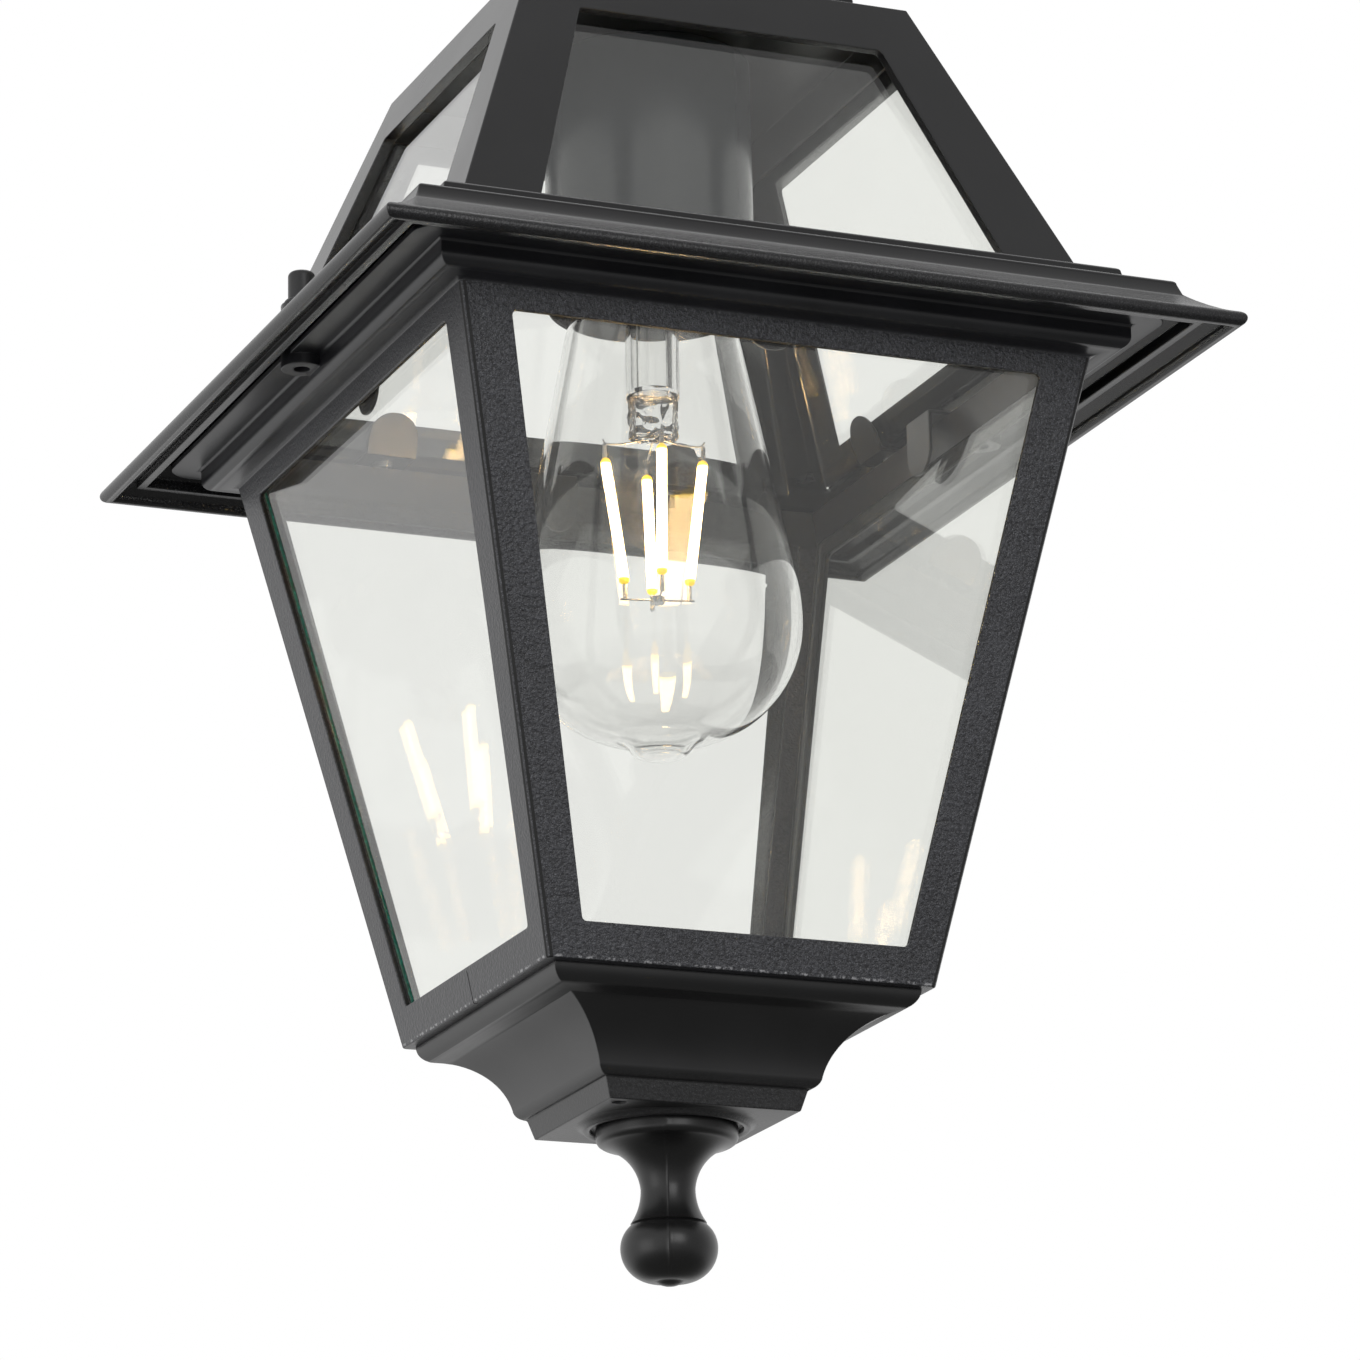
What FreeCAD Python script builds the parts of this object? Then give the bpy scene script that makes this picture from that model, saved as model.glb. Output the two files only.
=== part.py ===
import FreeCAD, Part
import math
import os

import Sketcher

# Square hanging lantern: glazed hood and body, ogee foot, finial and filament lamp.
# Lengths are in millimetres. A "half" is half of a square's width, and a "level" is a height
# above the centre of the lip bead that runs round the brim. The finished pieces hang from
# the centre of the eye, which is the origin.
SIZES = {
    # hood: brim, from the roof's foot outwards and from the lip upwards
    "roof_foot_half": 72.0,
    "tread_two_width": 6.4,
    "riser_two_lean": 1.0,
    "tread_one_width": 7.8,
    "riser_one_lean": 0.9,
    "slope_run": 8.4,
    "slope_rise": 7.5,
    "riser_one_rise": 3.5,
    "riser_two_rise": 5.0,
    "lip_bead_radius": 1.7,
    "slope_hollow_radius": 34.0,
    "step_edge_radius": 1.0,
    "hood_wall": 2.4,
    "drip_rib_inset": 5.1,
    "drip_rib_width": 2.0,
    "drip_rib_level": 0.5,
    "seat_rib_inset": 2.4,
    "seat_rib_width": 2.4,
    "seat_rib_depth": 3.6,
    # hood: roof
    "roof_run": 27.1,
    "roof_rise": 69.0,
    "roof_top_plate": 3.0,
    "roof_wall": 2.6,
    "roof_bar_foot": 17.4,
    "roof_bar_head": 14.2,
    "roof_rail": 13.0,
    "roof_window_corner": 1.2,
    # roof glazing
    "roof_pane_thick": 2.0,
    "roof_pane_lap": 7.0,
    "roof_pane_head_gap": 4.0,
    "retainer_depth": 8.0,
    "retainer_sheet": 0.8,
    "clip_sheet": 0.8,
    "clip_width": 12.0,
    "clip_tip_flat": 0.8,
    "clip_height": 8.7,
    "clip_offset": 35.0,
    "clip_screw_inset": 3.2,
    "clip_foot_margin": 2.6,
    "clip_boss_radius": 2.6,
    "glass_gap": 0.1,
    # body frame, from the hood's seat downwards
    "body_head_step": 1.0,
    "flange_depth": 8.4,
    "flange_thick": 2.5,
    "flange_gap": 0.3,
    "flange_reach": 1.7,
    "flange_lip": 1.4,
    "flange_corner": 6.0,
    "roll_reach": 6.6,
    "roll_depth": 5.3,
    "roll_radius": 2.6,
    "roll_cove_radius": 8.0,
    "roll_fillet": 0.8,
    "body_run": 28.6,
    "body_height": 135.9,
    "body_wall": 3.4,
    "body_edge_radius": 1.2,
    "rail_head": 5.0,
    "rail_foot": 7.9,
    "post_head": 10.85,
    "post_foot": 8.96,
    "window_corner": 2.2,
    "ledge_thick": 2.5,
    "ledge_width": 13.4,
    # body glazing
    "body_pane_thick": 2.5,
    "body_pane_side_gap": 0.6,
    "body_pane_head_gap": 0.4,
    "body_clip_reach": 13.0,
    "body_clip_screw_step": 0.6,
    # thumb screws and the ears that take them
    "thumb_pad_rise": 3.8,
    "thumb_ear_radius": 4.6,
    "thumb_ear_depth": 5.0,
    "thumb_thread_radius": 1.7,
    "thumb_thread_gap": 0.05,
    "thumb_pass_gap": 0.3,
    "thumb_seat_gap": 0.1,
    "thumb_end_rise": 1.3,
    "thumb_base_radius": 3.9,
    "thumb_base_thick": 1.1,
    "thumb_side_gap": 0.2,
    "thumb_head_radius": 3.0,
    "thumb_head_rise": 7.7,
    "thumb_head_round": 1.1,
    # small screws
    "screw_radius": 1.45,
    "screw_length": 6.0,
    "screw_head_radius": 2.5,
    "screw_head_thick": 1.6,
    "screw_head_bevel": 0.8,
    "screw_thread_gap": 0.05,
    "screw_pass_gap": 0.25,
    "screw_end_gap": 0.3,
    "base_screw_step": 3.4,
    # ogee foot, from the body downwards and inwards
    "base_step": 2.4,
    "base_bead_run": 3.5,
    "base_bead_drop": 4.0,
    "base_bead_radius": 3.9,
    "cove_run": 12.8,
    "cove_drop": 12.7,
    "cove_radius": 16.9,
    "ogee_run": 2.4,
    "ogee_drop": 2.5,
    "ogee_radius": 2.8,
    "band_lean": 1.3,
    "band_drop": 4.5,
    "base_wall": 2.5,
    "ring_radius": 19.8,
    "ring_width": 3.3,
    "ring_depth": 1.3,
    "ring_bevel": 0.4,
    "ring_cove_run": 1.8,
    "ring_cove_radius": 2.0,
    "drain_radius": 1.5,
    "drain_inset": 3.6,
    # finial, from the foot downwards
    "finial_collar_radius": 13.2,
    "finial_collar_drop": 0.6,
    "finial_flange_radius": 15.4,
    "finial_flange_thick": 2.2,
    "finial_flange_round": 1.5,
    "finial_cove_radius": 11.0,
    "finial_neck_radius": 5.9,
    "finial_neck_drop": 11.2,
    "finial_throat_round": 13.0,
    "finial_rim_radius": 8.2,
    "finial_rim_drop": 7.4,
    "finial_groove_radius": 7.8,
    "finial_groove_drop": 0.3,
    "finial_brow_radius": 8.4,
    "finial_brow_drop": 0.3,
    "finial_ball_radius": 10.5,
    "finial_ball_drop": 4.8,
    "finial_ball_upper_round": 6.4,
    "finial_ball_lower_round": 7.3,
    "finial_tip_radius": 3.0,
    "finial_tip_drop": 7.3,
    "finial_point_drop": 0.9,
    "finial_point_round": 5.4,
    "finial_bolt_radius": 2.5,
    "finial_bolt_length": 18.0,
    "finial_bolt_head_radius": 4.4,
    "finial_bolt_head_thick": 3.0,
    "finial_washer_radius": 7.0,
    "finial_washer_thick": 1.0,
    # lampholder and sleeve, from the top plate downwards
    "sleeve_radius": 23.4,
    "sleeve_wall": 1.2,
    "sleeve_length": 57.2,
    "sleeve_edge_bevel": 0.4,
    "holder_wall": 4.2,
    "holder_length": 44.0,
    "holder_neck_radius": 12.0,
    "holder_neck_drop": 5.0,
    "holder_shoulder_drop": 9.0,
    "holder_cavity_drop": 16.0,
    "shell_wall": 0.8,
    "shell_length": 26.0,
    "shell_gap": 0.1,
    "lamp_cap_gap": 0.3,
    "contact_radius": 3.0,
    "contact_length": 2.6,
    # nipple, cap and hanging eye, from the roof upwards
    "nipple_radius": 4.9,
    "nipple_bore": 3.4,
    "nipple_grip": 9.0,
    "nipple_end_gap": 1.0,
    "nipple_in_collar": 5.5,
    "nipple_gap": 0.06,
    "nipple_pass_gap": 0.3,
    "nut_across": 14.0,
    "nut_thick": 4.0,
    "washer_radius": 9.0,
    "washer_thick": 1.0,
    "cap_inset": 8.9,
    "gasket_inset": 1.0,
    "gasket_width": 4.0,
    "gasket_thick": 1.0,
    "cap_skirt": 4.0,
    "cap_top_half": 13.0,
    "cap_rise": 11.0,
    "cap_wall": 2.4,
    "cap_lip": 5.4,
    "collar_radius": 8.6,
    "collar_length": 12.8,
    "collar_roof": 2.6,
    "eye_rise": 12.2,
    "eye_radius": 9.5,
    "eye_band": 5.0,
    "eye_thick": 7.0,
    "inlet_rise": 8.4,
    "inlet_radius": 2.9,
    "grommet_bore": 2.0,
    "grommet_flange_radius": 4.2,
    "grommet_flange_thick": 1.2,
    # filament lamp, from the holder's contact downwards
    "bulb_contact_radius": 4.8,
    "bulb_contact_thick": 1.0,
    "bulb_insulator_thick": 2.2,
    "bulb_cap_radius": 13.1,
    "bulb_cap_wall": 0.5,
    "bulb_cap_top_radius": 10.5,
    "bulb_cap_hole": 7.6,
    "bulb_cap_shoulder": 2.2,
    "bulb_cap_length": 21.4,
    "bulb_neck_radius": 12.4,
    "bulb_neck_in_cap": 9.4,
    "bulb_neck_drop": 1.0,
    "bulb_neck_round": 12.0,
    "bulb_flare_radius": 15.6,
    "bulb_flare_drop": 7.6,
    "bulb_flare_round": 30.0,
    "bulb_cone_radius": 19.6,
    "bulb_cone_drop": 9.2,
    "bulb_shoulder_radius": 30.2,
    "bulb_shoulder_drop": 52.8,
    "bulb_shoulder_round": 56.0,
    "bulb_radius": 32.0,
    "bulb_belly_drop": 14.0,
    "bulb_dome_round": 27.0,
    "bulb_dome_end_radius": 10.0,
    "bulb_dome_drop": 26.54,
    "bulb_pip_radius": 6.0,
    "bulb_pip_drop": 3.16,
    "bulb_pip_cove": 7.0,
    "bulb_tip_drop": 1.1,
    "bulb_tip_round": 17.0,
    "bulb_glass_wall": 0.8,
    "stem_gap": 0.1,
    "stem_flare_rise": 5.4,
    "stem_flare_thick": 1.4,
    "stem_radius": 6.0,
    "stem_wall": 1.3,
    "stem_length": 37.4,
    "pinch_length": 9.8,
    "pinch_width": 10.4,
    "pinch_thick": 4.2,
    "filament_radius": 1.15,
    "filament_head_radius": 11.1,
    "filament_head_drop": 4.5,
    "filament_spread": 3.9,
    "filament_drop": 29.3,
    "filament_turn": 76.2,
    "hub_drop": 3.5,
    "hub_radius": 1.6,
    "hub_thick": 1.4,
    "wire_radius": 0.4,
    "wire_gap": 0.05,
    "wire_root_radius": 1.8,
}

SIDES = {"front": 0, "right": 90, "back": 180, "left": 270}
LEFT = 1
RIGHT = -1
FULL_TURN = 360
CLOSE = 0.01
X = FreeCAD.Vector(1, 0, 0)
Y = FreeCAD.Vector(0, 1, 0)
Z = FreeCAD.Vector(0, 0, 1)
UPRIGHT = FreeCAD.Rotation()
OVER = FreeCAD.Rotation(X, 180)

doc = FreeCAD.newDocument("HangingLantern")
sheet = doc.addObject("Spreadsheet::Sheet", "Sizes")
for row, (alias, value) in enumerate(SIZES.items(), start=1):
    sheet.set(f"A{row}", alias)
    sheet.set(f"B{row}", str(value))
    sheet.setAlias(f"B{row}", alias)
doc.recompute()

nodes = []


class Size:
    """A length together with the sheet expression that it comes from."""

    def __init__(self, value, text):
        self.value = value
        self.text = text

    def __add__(self, other):
        other = as_size(other)
        return Size(self.value + other.value, f"({self.text} + {other.text})")

    def __sub__(self, other):
        other = as_size(other)
        return Size(self.value - other.value, f"({self.text} - {other.text})")

    def __mul__(self, other):
        other = as_size(other)
        return Size(self.value * other.value, f"({self.text} * {other.text})")

    def __truediv__(self, other):
        other = as_size(other)
        return Size(self.value / other.value, f"({self.text} / {other.text})")

    def __neg__(self):
        return Size(-self.value, f"(0 - {self.text})")

    def root(self):
        return Size(math.sqrt(self.value), f"sqrt({self.text})")


class Dimensions:
    """The sheet's cells, read by their aliases."""

    def __getattr__(self, alias):
        return Size(float(sheet.get(alias)), f"{sheet.Name}.{alias}")


d = Dimensions()


def as_size(item):
    """Take a size or a plain number as a size."""
    if isinstance(item, Size):
        return item
    return Size(float(item), str(float(item)))


def new_body(label, hung=True):
    """Start a body; a hung one stands below the eye, which is the origin."""
    body = doc.addObject("PartDesign::Body", label)
    body.Label = label
    if hung:
        body.setExpression("Placement.Base.z", (-eye_level).text)
        nodes.append(body)
    return body


def new_sketch(body, name, role="XZ_Plane", offset=0):
    """Attach a sketch to one of the body's origin planes, at an offset along its normal."""
    sketch = body.newObject("Sketcher::SketchObject", f"{body.Name}_{name}")
    plane = next(item for item in body.Origin.OriginFeatures if item.Role == role)
    sketch.AttachmentSupport = [(plane, "")]
    sketch.MapMode = "FlatFace"
    sketch.setExpression("AttachmentOffset.Base.z", as_size(offset).text)
    return sketch


def pin(sketch, geometry, position, x, y):
    """Tie one point of a sketch to its two sheet expressions."""
    for kind, axis, item in (("DistanceX", -2, x), ("DistanceY", -1, y)):
        if isinstance(item, Size):
            index = sketch.addConstraint(Sketcher.Constraint(kind, -1, 1, geometry, position, item.value))
            sketch.setExpression(f"Constraints[{index}]", item.text)
        else:
            sketch.addConstraint(Sketcher.Constraint("PointOnObject", geometry, position, axis))


def arc_between(start, end, radius, turn):
    """Return the arc of less than half a turn that leaves start and bends to one side."""
    chord = end - start
    middle = (start + end) * 0.5
    reach = math.sqrt(max(radius ** 2 - (chord.Length / 2) ** 2, 0.0))
    side = FreeCAD.Vector(-chord.y, chord.x, 0).normalize() * turn
    centre = middle + side * reach
    first, last = (start, end) if turn == LEFT else (end, start)
    first_angle = math.atan2(first.y - centre.y, first.x - centre.x)
    last_angle = math.atan2(last.y - centre.y, last.x - centre.x)
    circle = Part.Circle(centre, FreeCAD.Vector(0, 0, 1), radius)
    return Part.ArcOfCircle(circle, first_angle, last_angle)


def outline(sketch, corners):
    """Draw a closed outline with every corner pinned.

    A corner is (x, y), followed by a straight edge, or (x, y, turn, radius), followed by an arc.
    A plain 0 keeps the corner on an axis.
    """
    spots = [FreeCAD.Vector(as_size(c[0]).value, as_size(c[1]).value, 0) for c in corners]
    ends = []
    for index, corner in enumerate(corners):
        start, end = spots[index], spots[(index + 1) % len(spots)]
        if len(corner) == 2:
            geometry = sketch.addGeometry(Part.LineSegment(start, end))
            ends.append((geometry, 1, 2))
            continue
        turn, radius = corner[2:]
        geometry = sketch.addGeometry(arc_between(start, end, radius.value, turn))
        ends.append((geometry, 1, 2) if turn == LEFT else (geometry, 2, 1))
    for index, corner in enumerate(corners):
        geometry, first, last = ends[index]
        after, after_first, _ = ends[(index + 1) % len(ends)]
        sketch.addConstraint(Sketcher.Constraint("Coincident", geometry, last, after, after_first))
        pin(sketch, geometry, first, corner[0], corner[1])
        if len(corner) > 2:
            rule = sketch.addConstraint(Sketcher.Constraint("Radius", geometry, corner[3].value))
            sketch.setExpression(f"Constraints[{rule}]", corner[3].text)


def circle(sketch, x, y, radius):
    """Draw a circle with its centre and radius tied to the sheet."""
    centre = FreeCAD.Vector(as_size(x).value, as_size(y).value, 0)
    geometry = sketch.addGeometry(Part.Circle(centre, FreeCAD.Vector(0, 0, 1), radius.value))
    pin(sketch, geometry, 3, x, y)
    rule = sketch.addConstraint(Sketcher.Constraint("Radius", geometry, radius.value))
    sketch.setExpression(f"Constraints[{rule}]", radius.text)


def square(sketch, half):
    """Draw a square about the axis."""
    outline(sketch, [(half, -half), (half, half), (-half, half), (-half, -half)])


def revolve(body, name, corners):
    """Turn an outline of radius and level round the axis."""
    sketch = new_sketch(body, f"{name}_outline")
    outline(sketch, corners)
    feature = body.newObject("PartDesign::Revolution", f"{body.Name}_{name}")
    feature.Profile = sketch
    feature.ReferenceAxis = (sketch, ["V_Axis"])
    feature.Angle = FULL_TURN
    return feature


def sweep(body, name, corners, half):
    """Run an outline of half width and level round a square with mitred corners."""
    path = new_sketch(body, f"{name}_path", "XY_Plane")
    stops = [(half, 0), (half, half), (-half, half), (-half, -half), (half, -half), (half, 0)]
    spots = [FreeCAD.Vector(as_size(x).value, as_size(y).value, 0) for x, y in stops]
    for index in range(len(stops) - 1):
        path.addGeometry(Part.LineSegment(spots[index], spots[index + 1]))
        pin(path, index, 1, *stops[index])
    for index in range(len(stops) - 1):
        after = (index + 1) % (len(stops) - 1)
        path.addConstraint(Sketcher.Constraint("Coincident", index, 2, after, 1))
    sketch = new_sketch(body, f"{name}_outline")
    outline(sketch, corners)
    feature = body.newObject("PartDesign::AdditivePipe", f"{body.Name}_{name}")
    feature.Profile = sketch
    feature.Spine = path
    feature.Transition = "Right corner"
    return feature


def wedge(body, name, foot, head, adds=True):
    """Join two level rectangles by flat sides.

    Each is (level, half width, back, front), with back and front measured towards the front side.
    """
    kind = "AdditiveWedge" if adds else "SubtractiveWedge"
    feature = body.newObject(f"PartDesign::{kind}", f"{body.Name}_{name}")
    feature.Placement = FreeCAD.Placement(FreeCAD.Vector(), FreeCAD.Rotation(X, 90))
    sizes = {"Ymin": foot[0], "Xmin": -foot[1], "Xmax": foot[1], "Zmin": foot[2], "Zmax": foot[3]}
    sizes.update({"Ymax": head[0], "X2min": -head[1], "X2max": head[1], "Z2min": head[2], "Z2max": head[3]})
    for side, size in sizes.items():
        feature.setExpression(side, size.text)
    return feature


def square_at(level, half):
    """Return a level square about the axis for a wedge."""
    return (level, half, -half, half)


def pad(body, name, sketch, length, symmetric=False):
    """Raise a sketch by a length along its normal, or by half of it to each side."""
    feature = body.newObject("PartDesign::Pad", f"{body.Name}_{name}")
    feature.Profile = sketch
    feature.setExpression("Length", as_size(length).text)
    if symmetric:
        feature.SideType = "Symmetric"
    return feature


def cut(body, name, sketch, depth, upward=False, symmetric=False):
    """Sink a sketch into the body, and make sure that it removed something."""
    doc.recompute()
    before = body.Shape.Volume
    feature = body.newObject("PartDesign::Pocket", f"{body.Name}_{name}")
    feature.Profile = sketch
    feature.setExpression("Length", as_size(depth).text)
    feature.Reversed = upward
    if symmetric:
        feature.SideType = "Symmetric"
    doc.recompute()
    if not body.Shape.Volume < before:
        raise ValueError(f"{feature.Name} removed nothing")
    return feature


def fillet(body, name, radius, wanted):
    """Round the edges of the body that a test picks."""
    doc.recompute()
    base = body.Tip
    edges = [f"Edge{i}" for i, edge in enumerate(base.Shape.Edges, start=1) if wanted(edge)]
    feature = body.newObject("PartDesign::Fillet", f"{body.Name}_{name}")
    feature.Base = (base, edges)
    feature.setExpression("Radius", radius.text)
    return feature


def runs_along(edge, axis):
    """Tell whether a straight edge runs along an axis."""
    if edge.Curve.TypeId != "Part::GeomLine":
        return False
    return abs(edge.tangentAt(edge.FirstParameter).dot(axis)) > 0.999


def place(item, x, y, z, turn):
    """Set an object by sheet expressions and turn it."""
    spot = FreeCAD.Vector(as_size(x).value, as_size(y).value, as_size(z).value)
    item.Placement = FreeCAD.Placement(spot, turn)
    for axis, value in (("x", x), ("y", y), ("z", z)):
        item.setExpression(f"Placement.Base.{axis}", as_size(value).text)


def group(label, form, spots):
    """Gather copies of one small piece in a node; a spot is (x, y, z, turn)."""
    copies = []
    for index, (x, y, z, turn) in enumerate(spots, start=1):
        copy = doc.addObject("App::Link", f"{label}_{index}")
        copy.LinkedObject = form
        copy.LinkTransform = True
        place(copy, x, y, as_size(z) - eye_level, turn)
        copies.append(copy)
    node = doc.addObject("Part::Compound", label)
    node.Label = label
    node.Links = copies
    nodes.append(node)
    return node


def facing(side):
    """Return the turn that carries the front side to another side."""
    return FreeCAD.Rotation(Z, SIDES[side])


def on_side(side, along, half):
    """Return x and y of a point on a side, along it from the middle and out from the axis."""
    spots = {
        "front": (along, -half),
        "right": (half, along),
        "back": (-along, half),
        "left": (-half, -along),
    }
    return spots[side]


# Brim: half widths outwards from the roof's foot, and levels upwards from the lip.
step_two_half = d.roof_foot_half + d.tread_two_width
riser_two_half = step_two_half + d.riser_two_lean
step_one_half = riser_two_half + d.tread_one_width
slope_top_half = step_one_half + d.riser_one_lean
lip_half = slope_top_half + d.slope_run
slope_top_level = d.slope_rise
step_one_level = slope_top_level + d.riser_one_rise
step_two_level = step_one_level + d.riser_two_rise
tread_one_under = step_one_level - d.hood_wall
tread_two_under = step_two_level - d.hood_wall
drip_rib_half = lip_half - d.drip_rib_inset
seat_rib_half = step_one_half - d.hood_wall - d.seat_rib_inset
seat_level = tread_one_under - d.seat_rib_depth

# Roof, its windows and its glazing; a lean is how much wider a wall is when measured level.
roof_top_half = d.roof_foot_half - d.roof_run
roof_top_level = step_two_level + d.roof_rise
plate_under = roof_top_level - d.roof_top_plate
roof_slope = d.roof_run / d.roof_rise
roof_lean = (roof_slope * roof_slope + 1).root()
roof_window_foot_half = d.roof_foot_half - d.roof_bar_foot
roof_window_head_level = roof_top_level - d.roof_rail
roof_window_head_half = roof_top_half + d.roof_rail * roof_slope - d.roof_bar_head
roof_window_slope = (roof_window_foot_half - roof_window_head_half) / (d.roof_rise - d.roof_rail)
roof_pane_head_level = plate_under - d.roof_pane_head_gap
retainer_foot_level = plate_under - d.retainer_depth
clip_screw_half = step_two_half - d.clip_screw_inset
clip_tip_level = tread_one_under + d.clip_height

# Body, hung under the hood's seat.
body_head_half = d.roof_foot_half + d.body_head_step
body_head_level = seat_level - d.flange_depth
body_foot_half = body_head_half - d.body_run
body_foot_level = body_head_level - d.body_height
body_slope = d.body_run / d.body_height
body_lean = (body_slope * body_slope + 1).root()
window_head_level = body_head_level - d.rail_head
window_foot_level = body_foot_level + d.rail_foot
window_head_half = body_head_half - d.rail_head * body_slope - d.post_head
window_foot_half = body_foot_half + d.rail_foot * body_slope - d.post_foot
roll_half = body_head_half + d.roll_reach
soffit_level = seat_level - d.flange_thick
roll_foot_level = soffit_level - d.roll_depth
flange_step_half = step_one_half - d.hood_wall - d.flange_gap
flange_half = flange_step_half + d.flange_reach
ledge_top = body_foot_level + d.ledge_thick
foot_opening_half = body_foot_half - d.ledge_width
body_clip_tip_level = seat_level - d.body_clip_reach
body_clip_screw_half = body_head_half + d.body_clip_screw_step

# Thumb screws beside the upper riser.
thumb_axis_half = step_two_half + d.thumb_base_radius + d.thumb_side_gap
thumb_pad_level = step_one_level + d.thumb_pad_rise
thumb_ear_level = seat_level - d.thumb_ear_depth
thumb_head_level = thumb_pad_level + d.thumb_head_rise
screw_pass = d.screw_radius + d.screw_pass_gap
screw_tap = d.screw_radius + d.screw_thread_gap

# Ogee foot and finial.
base_head_half = body_foot_half - d.base_step
base_bead_half = base_head_half - d.base_bead_run
base_bead_level = body_foot_level - d.base_bead_drop
cove_foot_half = base_bead_half - d.cove_run
cove_foot_level = base_bead_level - d.cove_drop
band_head_half = cove_foot_half - d.ogee_run
band_head_level = cove_foot_level - d.ogee_drop
band_foot_half = band_head_half - d.band_lean
base_foot_level = band_head_level - d.band_drop
base_screw_half = foot_opening_half + d.base_screw_step
drain_half = band_foot_half - d.drain_inset
finial_collar_level = base_foot_level - d.finial_collar_drop
finial_flange_level = finial_collar_level - d.finial_flange_thick
finial_neck_level = finial_flange_level - d.finial_neck_drop
finial_rim_level = finial_neck_level - d.finial_rim_drop
finial_groove_level = finial_rim_level - d.finial_groove_drop
finial_brow_level = finial_groove_level - d.finial_brow_drop
finial_ball_level = finial_brow_level - d.finial_ball_drop
finial_tip_level = finial_ball_level - d.finial_tip_drop
finial_point_level = finial_tip_level - d.finial_point_drop

# Lampholder, nipple, cap and eye.
sleeve_top = plate_under - d.retainer_sheet
sleeve_foot_level = sleeve_top - d.sleeve_length
holder_top = sleeve_top - d.sleeve_wall
holder_neck_level = holder_top - d.holder_neck_drop
holder_shoulder_level = holder_top - d.holder_shoulder_drop
holder_cavity_level = holder_top - d.holder_cavity_drop
holder_foot_level = holder_top - d.holder_length
shell_inner = d.bulb_cap_radius + d.lamp_cap_gap
shell_outer = shell_inner + d.shell_wall
shell_foot_level = holder_cavity_level - d.shell_length
holder_cavity = shell_outer + d.shell_gap
holder_radius = holder_cavity + d.holder_wall
nipple_hole = d.nipple_radius + d.nipple_pass_gap
nipple_tap = d.nipple_radius + d.nipple_gap
nipple_foot_level = holder_top - d.nipple_grip
holder_bore_level = nipple_foot_level - d.nipple_end_gap
cap_half = roof_top_half - d.cap_inset
gasket_half = cap_half - d.gasket_inset
cap_seat = roof_top_level + d.gasket_thick
cap_top = cap_seat + d.cap_skirt + d.cap_rise
collar_foot = cap_top + d.washer_thick
nipple_head_level = collar_foot + d.nipple_in_collar
eye_level = collar_foot + d.collar_length + d.eye_rise
inlet_level = collar_foot + d.inlet_rise

# Lamp, hung from the holder's contact.
bulb_contact_level = holder_cavity_level - d.contact_length
bulb_insulator_level = bulb_contact_level - d.bulb_contact_thick
bulb_cap_top_level = bulb_insulator_level - d.bulb_insulator_thick
bulb_cap_head_level = bulb_cap_top_level - d.bulb_cap_shoulder
bulb_cap_foot_level = bulb_cap_head_level - d.bulb_cap_length
bulb_head_level = bulb_cap_foot_level + d.bulb_neck_in_cap
bulb_neck_level = bulb_cap_foot_level - d.bulb_neck_drop
bulb_flare_level = bulb_neck_level - d.bulb_flare_drop
bulb_cone_level = bulb_flare_level - d.bulb_cone_drop
bulb_shoulder_level = bulb_cone_level - d.bulb_shoulder_drop
bulb_belly_level = bulb_shoulder_level - d.bulb_belly_drop
bulb_dome_end_level = bulb_belly_level - d.bulb_dome_drop
bulb_pip_level = bulb_dome_end_level - d.bulb_pip_drop
bulb_tip_level = bulb_pip_level - d.bulb_tip_drop
stem_flare_level = bulb_cap_foot_level + d.stem_flare_rise
stem_foot_level = stem_flare_level - d.stem_length
pinch_foot_level = stem_foot_level - d.pinch_length
filament_head_level = pinch_foot_level - d.filament_head_drop
filament_foot_level = filament_head_level - d.filament_drop
filament_foot_radius = d.filament_head_radius - d.filament_spread
hub_level = filament_foot_level - d.hub_drop


def body_half(level):
    """Half width of the body's outer face at a level."""
    return body_foot_half + (as_size(level) - body_foot_level) * body_slope


def body_inner(level):
    """Half width of the body's inner face at a level."""
    return body_half(level) - d.body_wall * body_lean


def body_pane_inner(level):
    """Half width to the inner face of the body's panes at a level."""
    return body_inner(level) - d.body_pane_thick * body_lean


def roof_half(level):
    """Half width of the roof's outer face at a level."""
    return d.roof_foot_half - (as_size(level) - step_two_level) * roof_slope


def roof_inner(level):
    """Half width of the roof's inner face at a level."""
    return roof_half(level) - d.roof_wall * roof_lean


def roof_pane_inner(level):
    """Half width to the inner face of the roof panes at a level."""
    return roof_inner(level) - d.roof_pane_thick * roof_lean


def roof_window_half(level):
    """Half width of a roof window at a level."""
    return roof_window_foot_half - (as_size(level) - step_two_level) * roof_window_slope


clip_spots = [
    on_side(side, along, clip_screw_half)
    for side in SIDES
    for along in (-d.clip_offset, d.clip_offset)
]
base_screw_spots = [
    (x, y)
    for x in (-base_screw_half, base_screw_half)
    for y in (-base_screw_half, base_screw_half)
]
thumb_spots = {"left": -thumb_axis_half, "right": thumb_axis_half}


def cut_windows(body, name, foot, head, reach, corner, wall):
    """Open a tapered window in each of the four walls; foot and head are (level, half width)."""
    for role, across in (("XZ_Plane", Y), ("YZ_Plane", X)):
        sketch = new_sketch(body, f"{name}_{role}", role)
        (foot_level, foot_half), (head_level, head_half) = foot, head
        outline(sketch, [
            (-foot_half, foot_level),
            (foot_half, foot_level),
            (head_half, head_level),
            (-head_half, head_level),
        ])
        cut(body, f"{name}_{role}_cut", sketch, reach, symmetric=True)
        longest = wall.value * 2
        levels = (foot_level.value, head_level.value)

        def is_corner(edge, across=across, longest=longest, levels=levels):
            level = edge.CenterOfMass.z
            near = min(abs(level - item) for item in levels) < CLOSE
            return runs_along(edge, across) and edge.Length < longest and near

        fillet(body, f"{name}_{role}_corners", corner, is_corner)


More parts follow.
